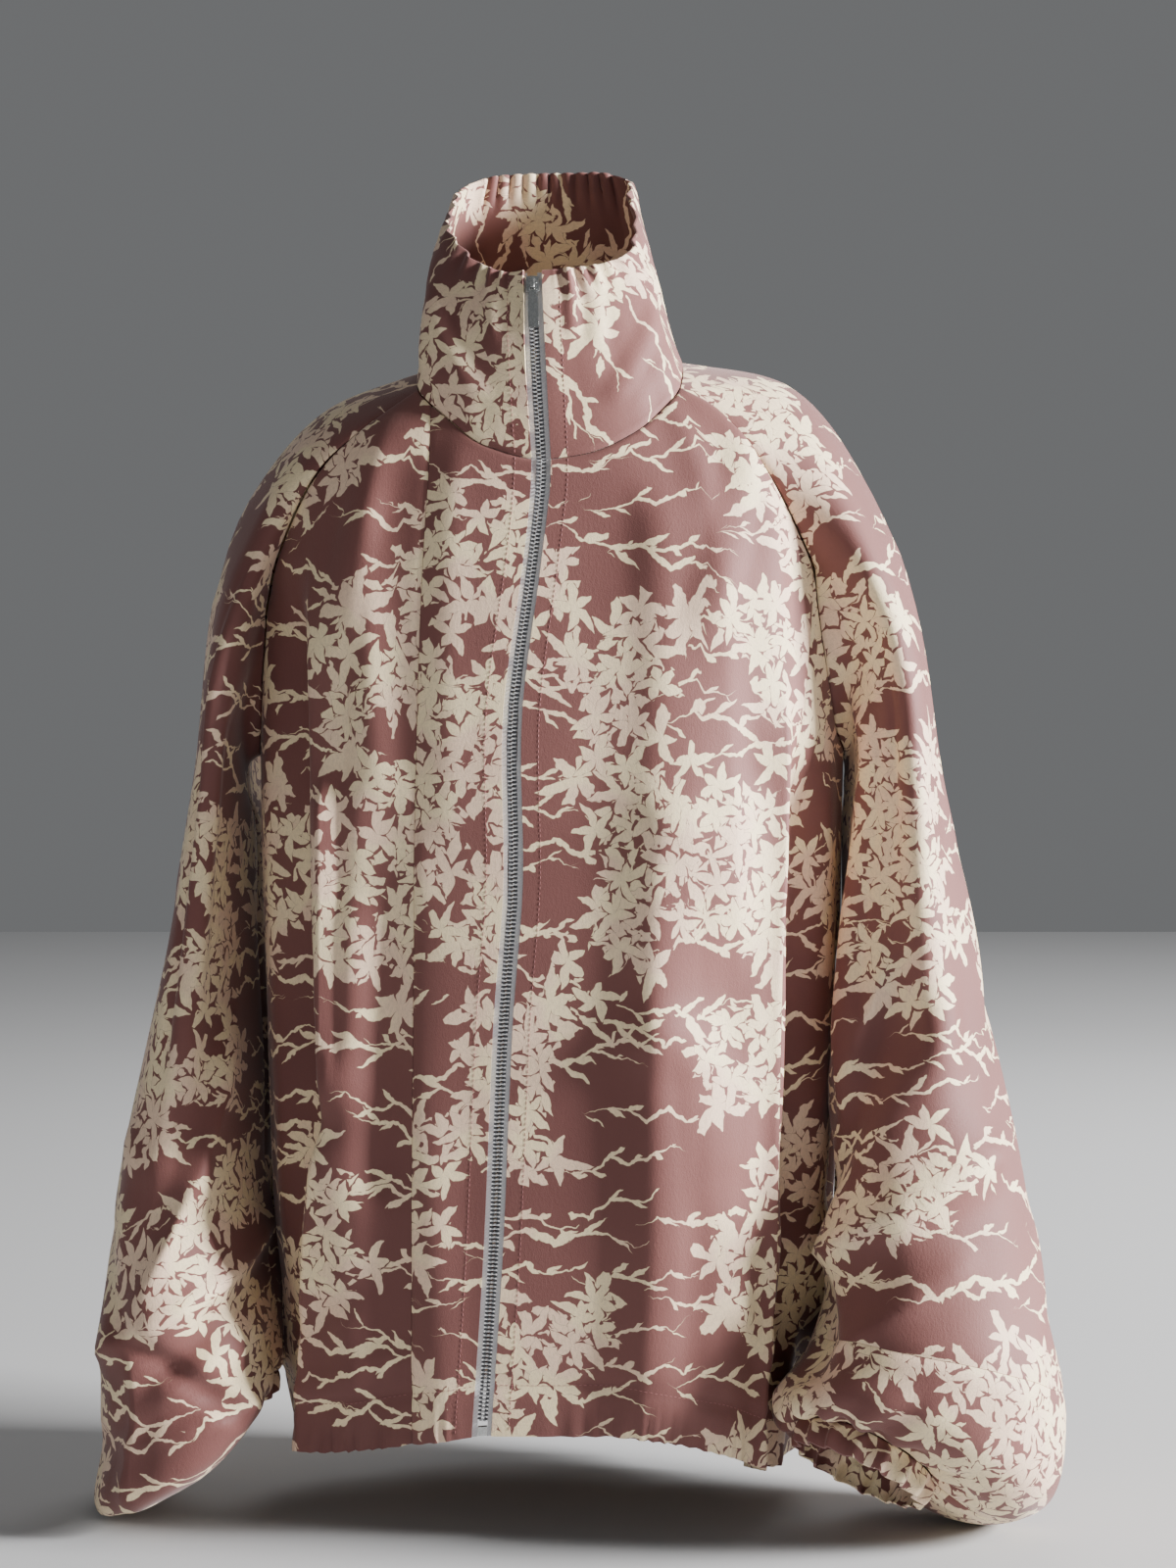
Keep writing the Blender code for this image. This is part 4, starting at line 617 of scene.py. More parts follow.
sleeve = dict(
    loops={
        left: (
            ((.197, 0.0, -.257), (.194, -.052, -.214), (.18, -.077, -.128),
             (.156, -.064, -.045), (.154, 0.0, -.007), (.156, .06, -.03),
             (.178, .076, -.112), (.195, .054, -.208)),
            ((.198, 0.0, -.272), (.202, -.062, -.236), (.208, -.086, -.175),
             (.211, -.064, -.118), (.211, 0.0, -.078), (.211, .062, -.105),
             (.21, .089, -.16), (.205, .066, -.232))),
        right: (
            ((.1995, 0.0, -.257), (.1975, -.051, -.216), (.184, -.075, -.138),
             (.156, -.064, -.06), (.15, 0.0, -.024), (.156, .06, -.042),
             (.18, .076, -.118), (.198, .054, -.208)),
            ((.2005, 0.0, -.272), (.203, -.06, -.238), (.204, -.083, -.182),
             (.2, -.064, -.128), (.1985, 0.0, -.08), (.201, .062, -.11),
             (.206, .09, -.165), (.206, .066, -.234)))},
    # inner, outer, front, back, then the height at each of those places, then the turn behind
    rings={
        left: (
            (.1965, .259, -.084, .102, -.292, -.284, -.274, -.282, -.06),
            (.1945, .277, -.09, .1, -.364, -.36, -.358, -.36, -.26),
            (.191, .289, -.104, .092, -.442, -.44, -.44, -.442, -.36),
            (.186, .306, -.122, .076, -.522, -.52, -.53, -.532, -.36),
            (.177, .318, -.142, .05, -.584, -.582, -.61, -.61, -.22),
            (.1615, .3225, -.158, .022, -.63, -.626, -.672, -.674, -.08),
            (.14, .308, -.16, -.008, -.655, -.652, -.722, -.722, 0.0),
            (.144, .274, -.152, -.05, -.664, -.661, -.726, -.722, 0.0)),
        right: (
            (.1975, .233, -.074, .106, -.292, -.284, -.274, -.282, .1),
            (.195, .247, -.078, .106, -.364, -.36, -.358, -.36, .15),
            (.1925, .264, -.085, .102, -.442, -.44, -.44, -.442, .16),
            (.189, .281, -.096, .094, -.522, -.525, -.53, -.53, .14),
            (.186, .288, -.106, .084, -.58, -.595, -.6, -.595, .1),
            (.18, .2915, -.11, .074, -.615, -.655, -.672, -.65, -.12),
            (.178, .29, -.1, .056, -.64, -.702, -.738, -.694, -.2),
            (.1805, .266, -.074, .034, -.649, -.706, -.722, -.694, -.08))},
    wrist={
        left: dict(centre=(.196, -.112, -.679), facing=(-.4, -.5, -.75),
                   across=(.89, 0.0, -.45), long=.043, short=.027),
        right: dict(centre=(-.218, -.02, -.66), facing=(.3, .1, -.95),
                    across=(-.92, 0.0, -.3), long=.036, short=.029)},
    # each fold: share round the arm and height at both ends, rise, reach before and after, crisp if so
    folds={
        left: (
            (.12, -.17, .125, -.44, .008, .01, .03, crisp),
            (.3, -.14, .27, -.44, .005, .02, .018),
            (.215, -.18, .2, -.42, -.005, .014, .016),
            (.05, -.57, .3, -.514, .013, .011, .026, crisp),
            (.06, -.53, .24, -.42, -.009, .012, .02),
            (.04, -.585, .08, -.63, -.008, .012, .012),
            (.64, -.18, .6, -.5, .006, .022, .022),
            (.78, -.2, .8, -.56, .006, .024, .02),
            (.62, -.54, .86, -.61, .007, .024, .018, crisp)),
        right: (
            (.25, -.16, .23, -.42, .004, .018, .014),
            (.13, -.465, .24, -.56, .01, .026, .01, crisp),
            (.06, -.57, .32, -.616, .013, .01, .026, crisp),
            (.12, -.64, .4, -.69, -.006, .014, .01),
            (.64, -.18, .61, -.5, .006, .022, .022),
            (.8, -.2, .82, -.56, .005, .022, .02),
            (.62, -.55, .86, -.6, .007, .024, .018, crisp))},
    fineFolds={
        left: (
            (0.0, -.27, 0.0, -.37, .0034, .012, .012),
            (1.0, -.27, 1.0, -.37, .0034, .012, .012),
            (.965, -.48, .965, -.56, .005, .012, .012),
            (-.035, -.48, -.035, -.56, .005, .012, .012),
            (.11, -.615, .26, -.57, .004, .007, .01, crisp),
            (.09, -.5, .2, -.4, .0045, .007, .012, crisp),
            (.38, -.48, .48, -.4, -.003, .01, .01),
            (.34, -.64, .46, -.56, .003, .01, .01),
            (.25, -.26, .29, -.43, .004, .008, .012),
            (.42, -.12, .4, -.3, .0025, .012, .012),
            (.16, -.2, .165, -.4, -.0036, .007, .01, crisp),
            (.7, -.3, .72, -.48, -.003, .012, .012),
            (.88, -.52, .76, -.6, .003, .01, .01),
            (.56, -.42, .7, -.5, .003, .01, .01)),
        right: (
            (.18, -.21, .2, -.38, .0028, .009, .009),
            (.3, -.25, .28, -.43, -.0028, .009, .009),
            (.965, -.545, .965, -.645, .006, .012, .012),
            (-.035, -.545, -.035, -.645, .006, .012, .012),
            (.19, -.612, .31, -.65, -.0042, .006, .006),
            (.18, -.655, .3, -.612, -.0042, .006, .006),
            (.15, -.66, .33, -.68, .0052, .008, .008, crisp),
            (.18, -.52, .36, -.5, .003, .009, .009),
            (.3, -.6, .42, -.56, -.0026, .008, .008),
            (.31, -.645, .33, -.705, .005, .008, .009, crisp),
            (.44, -.16, .44, -.33, .0025, .012, .012),
            (.7, -.3, .73, -.48, -.003, .012, .012),
            (.88, -.52, .76, -.6, .003, .01, .01),
            (.56, -.42, .7, -.5, .003, .01, .01))},
    girth=.46, squareness=2.2, stepsPerRing=12, piecing=-.615,
    neckSide={left: (.084, -.002, .01), right: (-.083, -.002, .004)},
    gathers=16, gatherReach=.05, gatherRise=.003,
    drape=.0028, drapeSize=(.03, .11))


def loopAt(values, share):
    # a closed curve through the values, at shares of the way round
    place = (share % 1.0) * len(values)
    i = place.astype(int)
    t = (place - i)[:, None]
    a, b, c, d = (values[(i + k) % len(values)] for k in (-1, 0, 1, 2))
    return 0.5 * (2 * b + (c - a) * t + (2 * a - 5 * b + 4 * c - d) * t * t
                  + (3 * b - a - 3 * c + d) * t ** 3)


def armRing(side, ring, share):
    inner, outer, front, back, zInner, zFront, zOuter, zBack, turn = ring
    inward, forward = np.cos(2 * math.pi * share), np.sin(2 * math.pi * share)
    out = (inner + outer) / 2 - (outer - inner) / 2 * squared(inward, sleeve["squareness"])
    aside = (front - back) / 2 * squared(forward, sleeve["squareness"])
    out = out - turn * aside * (1 + inward) / 2
    height = ((zInner + zOuter) / 2 * inward ** 2 + (zFront + zBack) / 2 * forward ** 2
              + (zInner - zOuter) / 2 * inward + (zFront - zBack) / 2 * forward)
    return np.stack([side * out, (front + back) / 2 + aside, height], -1)


def wristAxes(side):
    wrist = sleeve["wrist"][side]
    facing, across = unit(wrist["facing"]), np.array(wrist["across"])
    across = unit(across - facing * (across @ facing))
    return facing, across, side * np.cross(facing, across)


def wristRing(side, share, along=0.0, fuller=0.0):
    wrist = sleeve["wrist"][side]
    facing, across, forward = wristAxes(side)
    angle = 2 * math.pi * np.asarray(share)[:, None]
    fuller = np.broadcast_to(np.asarray(fuller, float), np.shape(share))[:, None]
    return (np.array(wrist["centre"]) + facing * along
            - across * (wrist["long"] + fuller) * np.cos(angle)
            + forward * (wrist["short"] + fuller) * np.sin(angle))


def raglanLoop(side):
    # the sleeve's top edge, from the underarm by the front and the neck, and its shoulder part
    fine, points, under = body["fine"], topEdges[side], body["columnsFront"]
    front = points[body["neckColumn"] * fine:under * fine + 1][::-1]
    back = points[under * fine:(under + body["raglanColumns"]) * fine + 1][::-1]
    count = body["shoulderColumns"] * fine
    t = (np.arange(count + 1) / count)[:, None]
    control = 2 * np.array(sleeve["neckSide"][side]) - (front[-1] + back[0]) / 2
    shoulder = (front[-1] * (1 - t) ** 2 + control * 2 * t * (1 - t) + back[0] * t * t)[1:-1]
    return np.concatenate([front, shoulder, back[:-1]]), shoulder


def sleevePoints(side):
    # rows of points from the armhole to the wrist, through each key loop in turn
    loop = raglanLoop(side)[0]
    share = np.arange(len(loop)) / len(loop)
    keys = [loop]
    keys += [loopAt(np.array(table) * (side, 1, 1), share) for table in sleeve["loops"][side]]
    keys += [armRing(side, ring, share) for ring in sleeve["rings"][side]]
    keys.append(wristRing(side, share))
    rows, places, steps = [], [], sleeve["stepsPerRing"]
    for i in range(len(keys) - 1):
        b, c = keys[i], keys[i + 1]
        a = keys[i - 1] if i > 0 else 2 * b - c
        d = keys[i + 2] if i + 2 < len(keys) else 2 * c - b
        before, here, after = (np.maximum(np.linalg.norm(q - p, axis=1, keepdims=True), 1e-5)
                               for p, q in ((a, b), (b, c), (c, d)))
        slopeB = ((b - a) / before * here + (c - b) / here * before) / (before + here) * here
        slopeC = ((c - b) / here * after + (d - c) / after * here) / (here + after) * here
        for k in range(steps + (1 if i == len(keys) - 2 else 0)):
            t = k / steps
            rows.append(b * (1 + 2 * t) * (1 - t) ** 2 + c * t * t * (3 - 2 * t)
                        + slopeB * t * (1 - t) ** 2 - slopeC * t * t * (1 - t))
            places.append(i + t)
    return np.array(rows), np.array(places), share


def makeSleeve(side):
    word = sideWord[side]
    plain, place, share = sleevePoints(side)
    girth, last, height = sleeve["girth"], place[-1], plain[..., 2]
    along = (share * girth)[None, :] + 0 * height
    angle = 2 * math.pi * share

    def raised(folds, fade):
        return foldHeight([(a * girth, za, b * girth, zb, *rest) for a, za, b, zb, *rest in folds[side]],
                          along, height, fade)

    calm = (smoothStep(place / 2) * smoothStep((last - 1.5 - place) / 1.5))[:, None]
    near = (smoothStep(place / 1.2) * smoothStep((last - 0.6 - place) / 0.9))[:, None]
    ahead, aside = (wave(angle)[None, :] * girth / 2 / math.pi for wave in (np.cos, np.sin))
    drape = softNoise(ahead + 2, height + aside + 2, *sleeve["drapeSize"], 20 + side)
    rise = raised(sleeve["folds"], 0.07) * calm
    rise = rise + (raised(sleeve["fineFolds"], 0.03) + drape * sleeve["drape"]) * near
    # gathers that run up from the elastic
    v = gridLengths(plain)[1]
    toWrist = v[-1] - v
    reach = sleeve["gatherReach"] * (1 + 0.45 * softNoise(share * 30, 0 * share, 1.0, 1.0, 33))
    swell = smoothStep(toWrist / 0.010) * smoothStep(1 - toWrist / reach[None, :])
    rise = rise + np.sin(angle * sleeve["gathers"])[None, :] * swell * sleeve["gatherRise"]
    points = plain + surfaceNormals(plain, closed=True, turned=side) * rise[..., None]
    normals = surfaceNormals(points, closed=True, turned=side)
    middle, end = len(share) // 2, len(points)
    front, back = np.arange(middle + 1), np.append(np.arange(middle, len(share)), 0)
    parts = [("back", back, 0, end), ("front", front, 0, end)]
    if side == left:   # its front is pieced across near the wrist
        piecing = int(np.argmin(np.abs(plain[:, middle // 2, 2] - sleeve["piecing"])))
        parts[1:] = [("front", front, 0, piecing + 1), ("front_lower", front, piecing, end)]
    for part, columns, first, stop in parts:
        addPanel(f"sleeve_{word}_{part}", points[first:stop][:, columns], normals[first:stop][:, columns],
                 everyEdge)


for side in (left, right):
    makeSleeve(side)
print("sleeves made")


# ---- cuffs

cuff = dict(depth=0.018, wave=0.0022, wall=0.0022, finePerGather=14, rows=14, swell=0.0012,
            turnUnder=0.0014, printRadius=0.050)


def makeCuff(side):
    count = sleeve["gathers"] * cuff["finePerGather"]
    share = np.arange(count) / count
    outer, inner, depths = [], [], cuff["depth"] * np.arange(cuff["rows"] + 1) / cuff["rows"]
    turns = 2 * math.pi * share * sleeve["gathers"]
    uneven = 1 + 0.35 * softNoise(share * 40, 0 * share, 1.0, 1.0, 50 + side)
    wave = (np.sin(turns) - 0.25 * np.cos(2 * turns)) * cuff["wave"] * uneven
    for depth in depths:
        # the casing is full between two rows of elastic stitching and turns under at its edge
        t = depth / cuff["depth"]
        swell = cuff["swell"] * math.sin(math.pi * t) - cuff["turnUnder"] * t ** 6
        ring = wristRing(side, share, depth, wave * smoothStep(depth / 0.006) + swell)
        outward = unit(wristRing(side, share, depth, 0.01) - wristRing(side, share, depth))
        outer.append(ring)
        inner.append(ring - outward * cuff["wall"])
    outer, inner = np.array(outer), np.array(inner)
    for wall in (outer, inner):
        wall[0] += wristAxes(side)[0] * body["halfGap"]
    around = share * 2 * math.pi * cuff["printRadius"]
    cut = np.stack(np.broadcast_arrays(around[None, :], -depths[:, None]), -1) + rng.uniform(0, 7, 2)
    girth = float(np.linalg.norm(np.roll(outer[7], -1, axis=0) - outer[7], axis=1).sum())
    addCloth(f"cuff_{sideWord[side]}", outer, inner, cut,
             dict(flat=(girth, cuff["depth"]), held="gathered"), closed=True)


for side in (left, right):
    makeCuff(side)
print("cuffs made")


# ---- collar

collar = dict(
    top={"bearing": (-180, -150, -120, -90, -65, -40, -14, -4, 10, 35, 60, 90, 120, 150, 180),
         "x": (-.004, -.038, -.06, -.0685, -.064, -.044, -.022, -.011,
               .002, .026, .048, .0575, .052, .03, -.004),
         "y": (.056, .051, .03, -.004, -.036, -.066, -.083, -.086,
               -.086, -.078, -.052, -.008, .03, .05, .056),
         "z": (.148, .145, .132, .112, .09, .06, .051, .051,
               .052, .056, .07, .108, .136, .147, .148)},
    zipTop=(-.011, -.086, .0515), centreY=-.015, bulge=.006, foldRadius=.075, foldHeight=.1,
    rows=48, wall=.0022, gatherPitch=.0105, gatherRise=.0019, gatherReach=.22,
    drape=.001, drapeSize=(.018, .05),
    # each fold: bearing and share of the height at both ends, rise, reach before and after
    folds=(
        (-62.0, .95, -40.0, .1, .004, .012, .01),
        (-95.0, 1.0, -78.0, .15, -.003, .01, .01),
        (62.0, 1.0, 44.0, .2, .0035, .012, .01),
        (100.0, 1.0, 84.0, .1, -.004, .01, .012),
        (128.0, .95, 150.0, .15, .004, .012, .012),
        (-130.0, .95, -150.0, .15, .004, .012, .012)),
    fineFolds=(
        (-30.0, .98, -24.0, .66, .0016, .0035, .0035),
        (-46.0, .98, -38.0, .62, .0018, .004, .004),
        (20.0, .99, 16.0, .7, .0016, .0035, .0035),
        (34.0, .99, 27.0, .62, .0018, .004, .004),
        (-70.0, .8, -30.0, .3, .0018, .005, .005),
        (72.0, .75, 30.0, .28, .0018, .005, .005),
        (-100.0, .55, -60.0, .1, -.0018, .006, .006),
        (100.0, .6, 62.0, .1, -.002, .006, .006)))


def collarBase():
    # the neck seam from the left zip edge round the back to the right one
    fine, runs = body["fine"], []
    for side in (left, right):
        points = topEdges[side]
        joint = (body["columnsFront"] + body["raglanColumns"]) * fine
        run = np.concatenate([points[:body["neckColumn"] * fine + 1], raglanLoop(side)[1], points[joint:]])
        runs.append(run if side == left else run[::-1][1:])
    base = np.concatenate(runs)
    bearing = np.degrees(np.arctan2(base[:, 0], collar["centreY"] - base[:, 1]))
    middle, index = len(base) // 2, np.arange(len(base))
    bearing[(index < middle) & (bearing < -90)] += 360
    bearing[(index > middle) & (bearing > 90)] -= 360
    return base, bearing, middle


def makeCollar():
    base, bearing, middle = collarBase()
    radius, wall, tall = collar["foldRadius"], collar["wall"], collar["foldHeight"]
    top = np.stack([smoothThrough(collar["top"], "bearing", axis, bearing) for axis in "xyz"], -1)
    for index, side in ((0, left), (-1, right)):
        top[index] = np.array(collar["zipTop"]) + (side * body["edgeToZip"], 0, 0)
    for edge in (top, top[::-1]):   # ease the columns beside the zip so the top edge stays even there
        for count in range(1, 6):
            even = edge[0] + (edge[6] - edge[0]) * count / 6
            edge[count] = even + (edge[count] - even) * smoothStep(count / 6)
    along = np.radians(bearing) * radius
    ends = np.minimum(np.abs(bearing - bearing[0]), np.abs(bearing - bearing[-1]))
    ends[middle] = 90

    def raised(folds, height, fade):
        rows = [(math.radians(a) * radius, aUp * tall, math.radians(b) * radius, bUp * tall, *rest)
                for a, aUp, b, bUp, *rest in folds]
        return foldHeight(rows, along, height * tall + 0 * along, fade)

    # small gathers at the top edge, fading out towards the zip
    phase = along / collar["gatherPitch"] * 2 * math.pi
    gather = np.sin(phase + 2.0 * softNoise(along + 2, 0 * along, 0.03, 1, 62)) * smoothStep((ends - 6) / 8)
    rows = []
    for height in 1 - np.arange(collar["rows"] + 1) / collar["rows"]:
        point = base + (top - base) * height
        outward = unit(np.stack([point[:, 0], point[:, 1] - collar["centreY"], 0 * point[:, 0]], -1))
        swell = collar["bulge"] * math.sin(math.pi * height) * (1 - 0.6 * np.maximum(outward[:, 0], 0))
        rise = raised(collar["folds"], height, 0.02) + raised(collar["fineFolds"], height, 0.012)
        drape = softNoise(along + 2, height * 0.13 + 2 + 0 * along, *collar["drapeSize"], 61)
        rise = rise + drape * collar["drape"]
        rise = rise + gather * collar["gatherRise"] * smoothStep(1 - (1 - height) / collar["gatherReach"])
        calm = smoothStep((ends - 2) / 14) * min(1.0, 4 * height)
        rows.append(point + outward * (swell + rise * calm)[:, None])
    points = np.array(rows)
    points[:, middle, 0] = points[:, [middle - 1, middle + 1], 0].mean(axis=1)
    normals = surfaceNormals(points)
    # the folded top edge is round: two more rows close it over
    outer, inner = points.copy(), points - normals * wall
    up = unit(points[0] - points[1])
    lift, rounding = (outer[0] + inner[0]) / 2 + up * wall * 0.5, normals[0] * wall * 0.18
    outer = np.concatenate([[lift, (outer[0] + lift) / 2 + rounding], outer])
    inner = np.concatenate([[lift - up * 0.00005, (inner[0] + lift) / 2 - rounding], inner])
    gap = unit(points[-2] - points[-1]) * body["halfGap"]
    outer[-1] += gap - normals[-1] * body["seamDip"]
    inner[-1] += gap
    cut = flatCut(outer)
    addCloth("collar", outer, inner, cut[..., ::-1] + rng.uniform(0, 7, 2), hungSheet(outer, cut))
    panels["collar"] = dict(plain=points, points=points, normals=normals)


makeCollar()
print("collar made; cloth pieces:", len(cloth))


# ---- books that add nodes to a tree

class Book:
    def node(self, kind, settings=None, inputs=(), output=0):
        # a node by its type, its settings, and values or links for its inputs
        made = self.tree.nodes.new(kind)
        for key, value in (settings or {}).items():
            setattr(made, key, value)
        pairs = inputs.items() if isinstance(inputs, dict) else enumerate(inputs)
        for key, value in pairs:
            value = getattr(value, "socket", value)
            if isinstance(value, bpy.types.NodeSocket):
                self.tree.links.new(value, made.inputs[key])
            else:
                made.inputs[key].default_value = value
        return self.wrap(made.outputs[output])

    def wrap(self, socket):
        return socket


class Value:
    # wraps a socket, so that shader maths reads as plain expressions
    def __init__(self, book, socket):
        self.book, self.socket = book, socket

    def math(self, operation, *others, swap=False):
        values = [*others, self] if swap else [self, *others]
        return self.book.node("ShaderNodeMath", {"operation": operation}, values)

    def __gt__(self, other):
        return self.math("GREATER_THAN", other)

    def __lt__(self, other):
        return self.math("LESS_THAN", other)


def overload(sign, operation):
    # the operator and its reflected form
    setattr(Value, f"__{sign}__", lambda self, other: self.math(operation, other))
    setattr(Value, f"__r{sign}__", lambda self, other: self.math(operation, other, swap=True))


for sign, operation in (("add", "ADD"), ("sub", "SUBTRACT"), ("mul", "MULTIPLY"), ("truediv", "DIVIDE"),
                        ("pow", "POWER")):
    overload(sign, operation)


class ShaderBook(Book):
    def __init__(self, name):
        self.material = bpy.data.materials.new(name)
        self.material.use_nodes = True
        self.tree = self.material.node_tree
        self.shader = self.tree.nodes["Principled BSDF"]

    def wrap(self, socket):
        return Value(self, socket)

    def out(self, value, name):
        return Value(self, value.socket.node.outputs[name])

    def feed(self, values):
        for name, value in values.items():
            if isinstance(value, Value):
                self.tree.links.new(value.socket, self.shader.inputs[name])
            else:
                self.shader.inputs[name].default_value = value

    def bump(self, strength, distance, height):
        return self.node("ShaderNodeBump", {},
                         {"Strength": strength, "Distance": distance, "Height": height})

    def vector(self, operation, *values):
        return self.node("ShaderNodeVectorMath", {"operation": operation}, values)

    def mixColour(self, share, *colours):
        first, second = (c if isinstance(c, Value) else (*c, 1) for c in colours)
        return self.node("ShaderNodeMix", {"data_type": "RGBA"}, {0: share, 6: first, 7: second}, 2)

    def noise(self, place, scale, detail, dimensions="2D", output=0):
        return self.node("ShaderNodeTexNoise", {"noise_dimensions": dimensions},
                         {"Vector": place, "Scale": scale, "Detail": detail}, output)

    def soft(self, value, low, high):
        return self.node("ShaderNodeMapRange", {"interpolation_type": "SMOOTHSTEP"},
                         {"Value": value, "From Min": low, "From Max": high})

    def split(self, value, kind="ShaderNodeSeparateXYZ"):
        made = self.node(kind, {}, [value])
        return [Value(self, output) for output in made.socket.node.outputs]


# ---- crepe: the rose ground, the leaf print, the fine wrinkled weave

crepe = dict(
    ground=(0.157, 0.057, 0.050), groundLight=(0.195, 0.074, 0.064),
    cream=(0.920, 0.755, 0.480), pinkCream=(0.850, 0.620, 0.450),
    roughness=0.64, sheen=0.25, sheenRoughness=0.45, sheenTint=(0.95, 0.85, 0.82), specular=0.35,
    shadeSize=0.22, toneSize=0.050, partingSize=0.0075, partingWidth=1.9,
    # how far and how finely the threads of the print's grid wander, and how loose its spots are
    sprayWander=(0.20, 0.013, 0.78), branchWander=(0.0075, 0.011, 0.62),
    # star sprays, the lowest first: cell size, leaflets, leaflet length and half width as shares
    # of the cell, print shift, cluster noise needed, how pink
    sprays=((0.052, 7, 0.60, 0.135, 0.0, 0.465, 0.55),
            (0.044, 6, 0.62, 0.140, 3.7, 0.485, 0.0),
            (0.037, 5, 0.62, 0.150, 8.3, 0.482, 0.25),
            (0.030, 5, 0.62, 0.160, 14.1, 0.508, 0.0)),
    # level branches: cell width and height, bend spacing, leaflet length and half width,
    # twig half width, lean, print shift, cluster noise allowed
    branches=((0.120, 0.046, 0.0170, 0.0205, 0.0036, 0.0013, 0.50, 2.3, 0.56),
              (0.086, 0.033, 0.0130, 0.0150, 0.0028, 0.0010, 0.80, 6.9, 0.52)),
    # painted shade: a near-black colour that the cloth is mixed towards in the low places of the weave, and
    # how much
    hollow=(0.130, 0.045, 0.040), margin=0.034, clusterSize=0.110,
    rib=(0.00042, 0.001092), pebble=(0.0016, 0.0034),   # each one's width and height in the weave
    ribShare=0.55, bump=(0.60, 0.0004), hollowShare=0.16)


def clusterNoise(book, centre, wide, tall, shift):
    # where the sprays gather, the same field for every layer
    return book.noise(book.vector("MULTIPLY_ADD", centre, (wide, tall, 1),
                                  (-shift * wide, -shift * 1.7 * tall, 0)), 1 / crepe["clusterSize"], 0.0)


def scatterSpots(book, place, wide, tall, shift, wander, wanderSize, loose):
    # one spot to a cell of cloth whose threads wander a little
    wobble = book.noise(place, 1 / wanderSize, 2.5, output=1)
    place = book.vector("MULTIPLY_ADD", wobble, (wander, wander, 0),
                        book.vector("ADD", place, (-wander / 2, -wander / 2, 0)))
    grid = book.vector("MULTIPLY_ADD", place, (1 / wide, 1 / tall, 1), (shift, shift * 1.7, 0))
    spot = book.node("ShaderNodeTexVoronoi", {"voronoi_dimensions": "2D"},
                     {"Vector": grid, "Scale": 1.0, "Randomness": loose})
    centre = book.out(spot, "Position")
    chance = book.split(book.out(spot, "Color"), "ShaderNodeSeparateColor")
    return book.vector("SUBTRACT", grid, centre), centre, chance


def leafShape(along, aside, length, halfWidth):
    # above nought inside a pointed leaflet that runs from 0 to its length
    t = along / length
    profile = (t.math("MAXIMUM", 0.0) ** 0.75) * (1.0 - t).math("MAXIMUM", 0.0) * (2.1 * halfWidth)
    beyond = ((t - 0.5).math("ABSOLUTE") - 0.5).math("MAXIMUM", 0.0) * length
    return profile - aside.math("ABSOLUTE") - beyond


def leafSpray(book, place, parting, cell, leaflets, length, halfWidth, shift, needed):
    # star-like sprays of pointed leaflets, one to a cell, with the bare rim that parts them
    wander, *rest = crepe["sprayWander"]
    away, centre, chance = scatterSpots(book, place, cell, cell, shift, wander * cell, *rest)
    dx, dy = book.split(away)[:2]
    radius = (dx * dx + dy * dy) ** 0.5
    turn = (dy.math("ARCTAN2", dx) / (2 * math.pi) + chance[0]) * leaflets + radius * (chance[1] - 0.5) * 1.6
    leaf = turn.math("FLOOR")
    jitter = (leaf * 2.37 + chance[2] * 31.0).math("SINE")
    bend = (turn - leaf - 0.5 + jitter * 0.15) * (2 * math.pi / leaflets)
    reach = length * (0.84 + 0.24 * (leaf * 4.1 + chance[0] * 57.0).math("SINE"))
    inside = leafShape(radius * bend.math("COSINE"), radius * bend.math("SINE"), reach, halfWidth)
    kept = clusterNoise(book, centre, cell, cell, shift) > needed
    rim = inside + parting * crepe["margin"]
    return book.soft(inside, -0.001, 0.008) * kept, book.soft(rim, -0.006, 0.006) * kept


def levelBranch(book, place, wide, tall, spacing, length, halfWidth, twig, lean, shift, allowed):
    # crooked branches that run mostly level, with a leaflet springing from most bends
    away, centre, chance = scatterSpots(book, place, wide, tall, shift, *crepe["branchWander"])
    dx, dy = book.split(book.vector("MULTIPLY", away, (wide, tall, 1)))[:2]
    level = dy - dx * (chance[0] - 0.5) * lean
    step = dx / spacing + chance[1] * 7.0
    bend = step.math("FLOOR")
    run = step - bend
    here, following = ((bend * 2.4 + ahead + chance[2] * 31.0).math("SINE") * (spacing * 0.27)
                       for ahead in (0.0, 2.4))
    thinning = (1.0 - dx.math("ABSOLUTE") / (wide * 0.56)).math("MAXIMUM", 0.0)
    line = thinning * (twig * 1.7) - (level - here - (following - here) * run).math("ABSOLUTE")
    side = (bend * 1.9 + chance[0] * 17.0).math("SINE").math("SIGN")
    grown = 0.35 + 0.75 * (bend * 3.3 + chance[1] * 23.0).math("SINE").math("ABSOLUTE")
    forward, up = run * spacing, (level - here) * side
    leaf = leafShape(forward * 0.86 + up * 0.51, up * 0.86 - forward * 0.51, grown * length,
                     thinning.math("MINIMUM", 0.5) * (2 * halfWidth))
    kept = clusterNoise(book, centre, wide, tall, shift) < allowed
    return book.soft(line.math("MAXIMUM", leaf), 0.00002, 0.0004) * kept


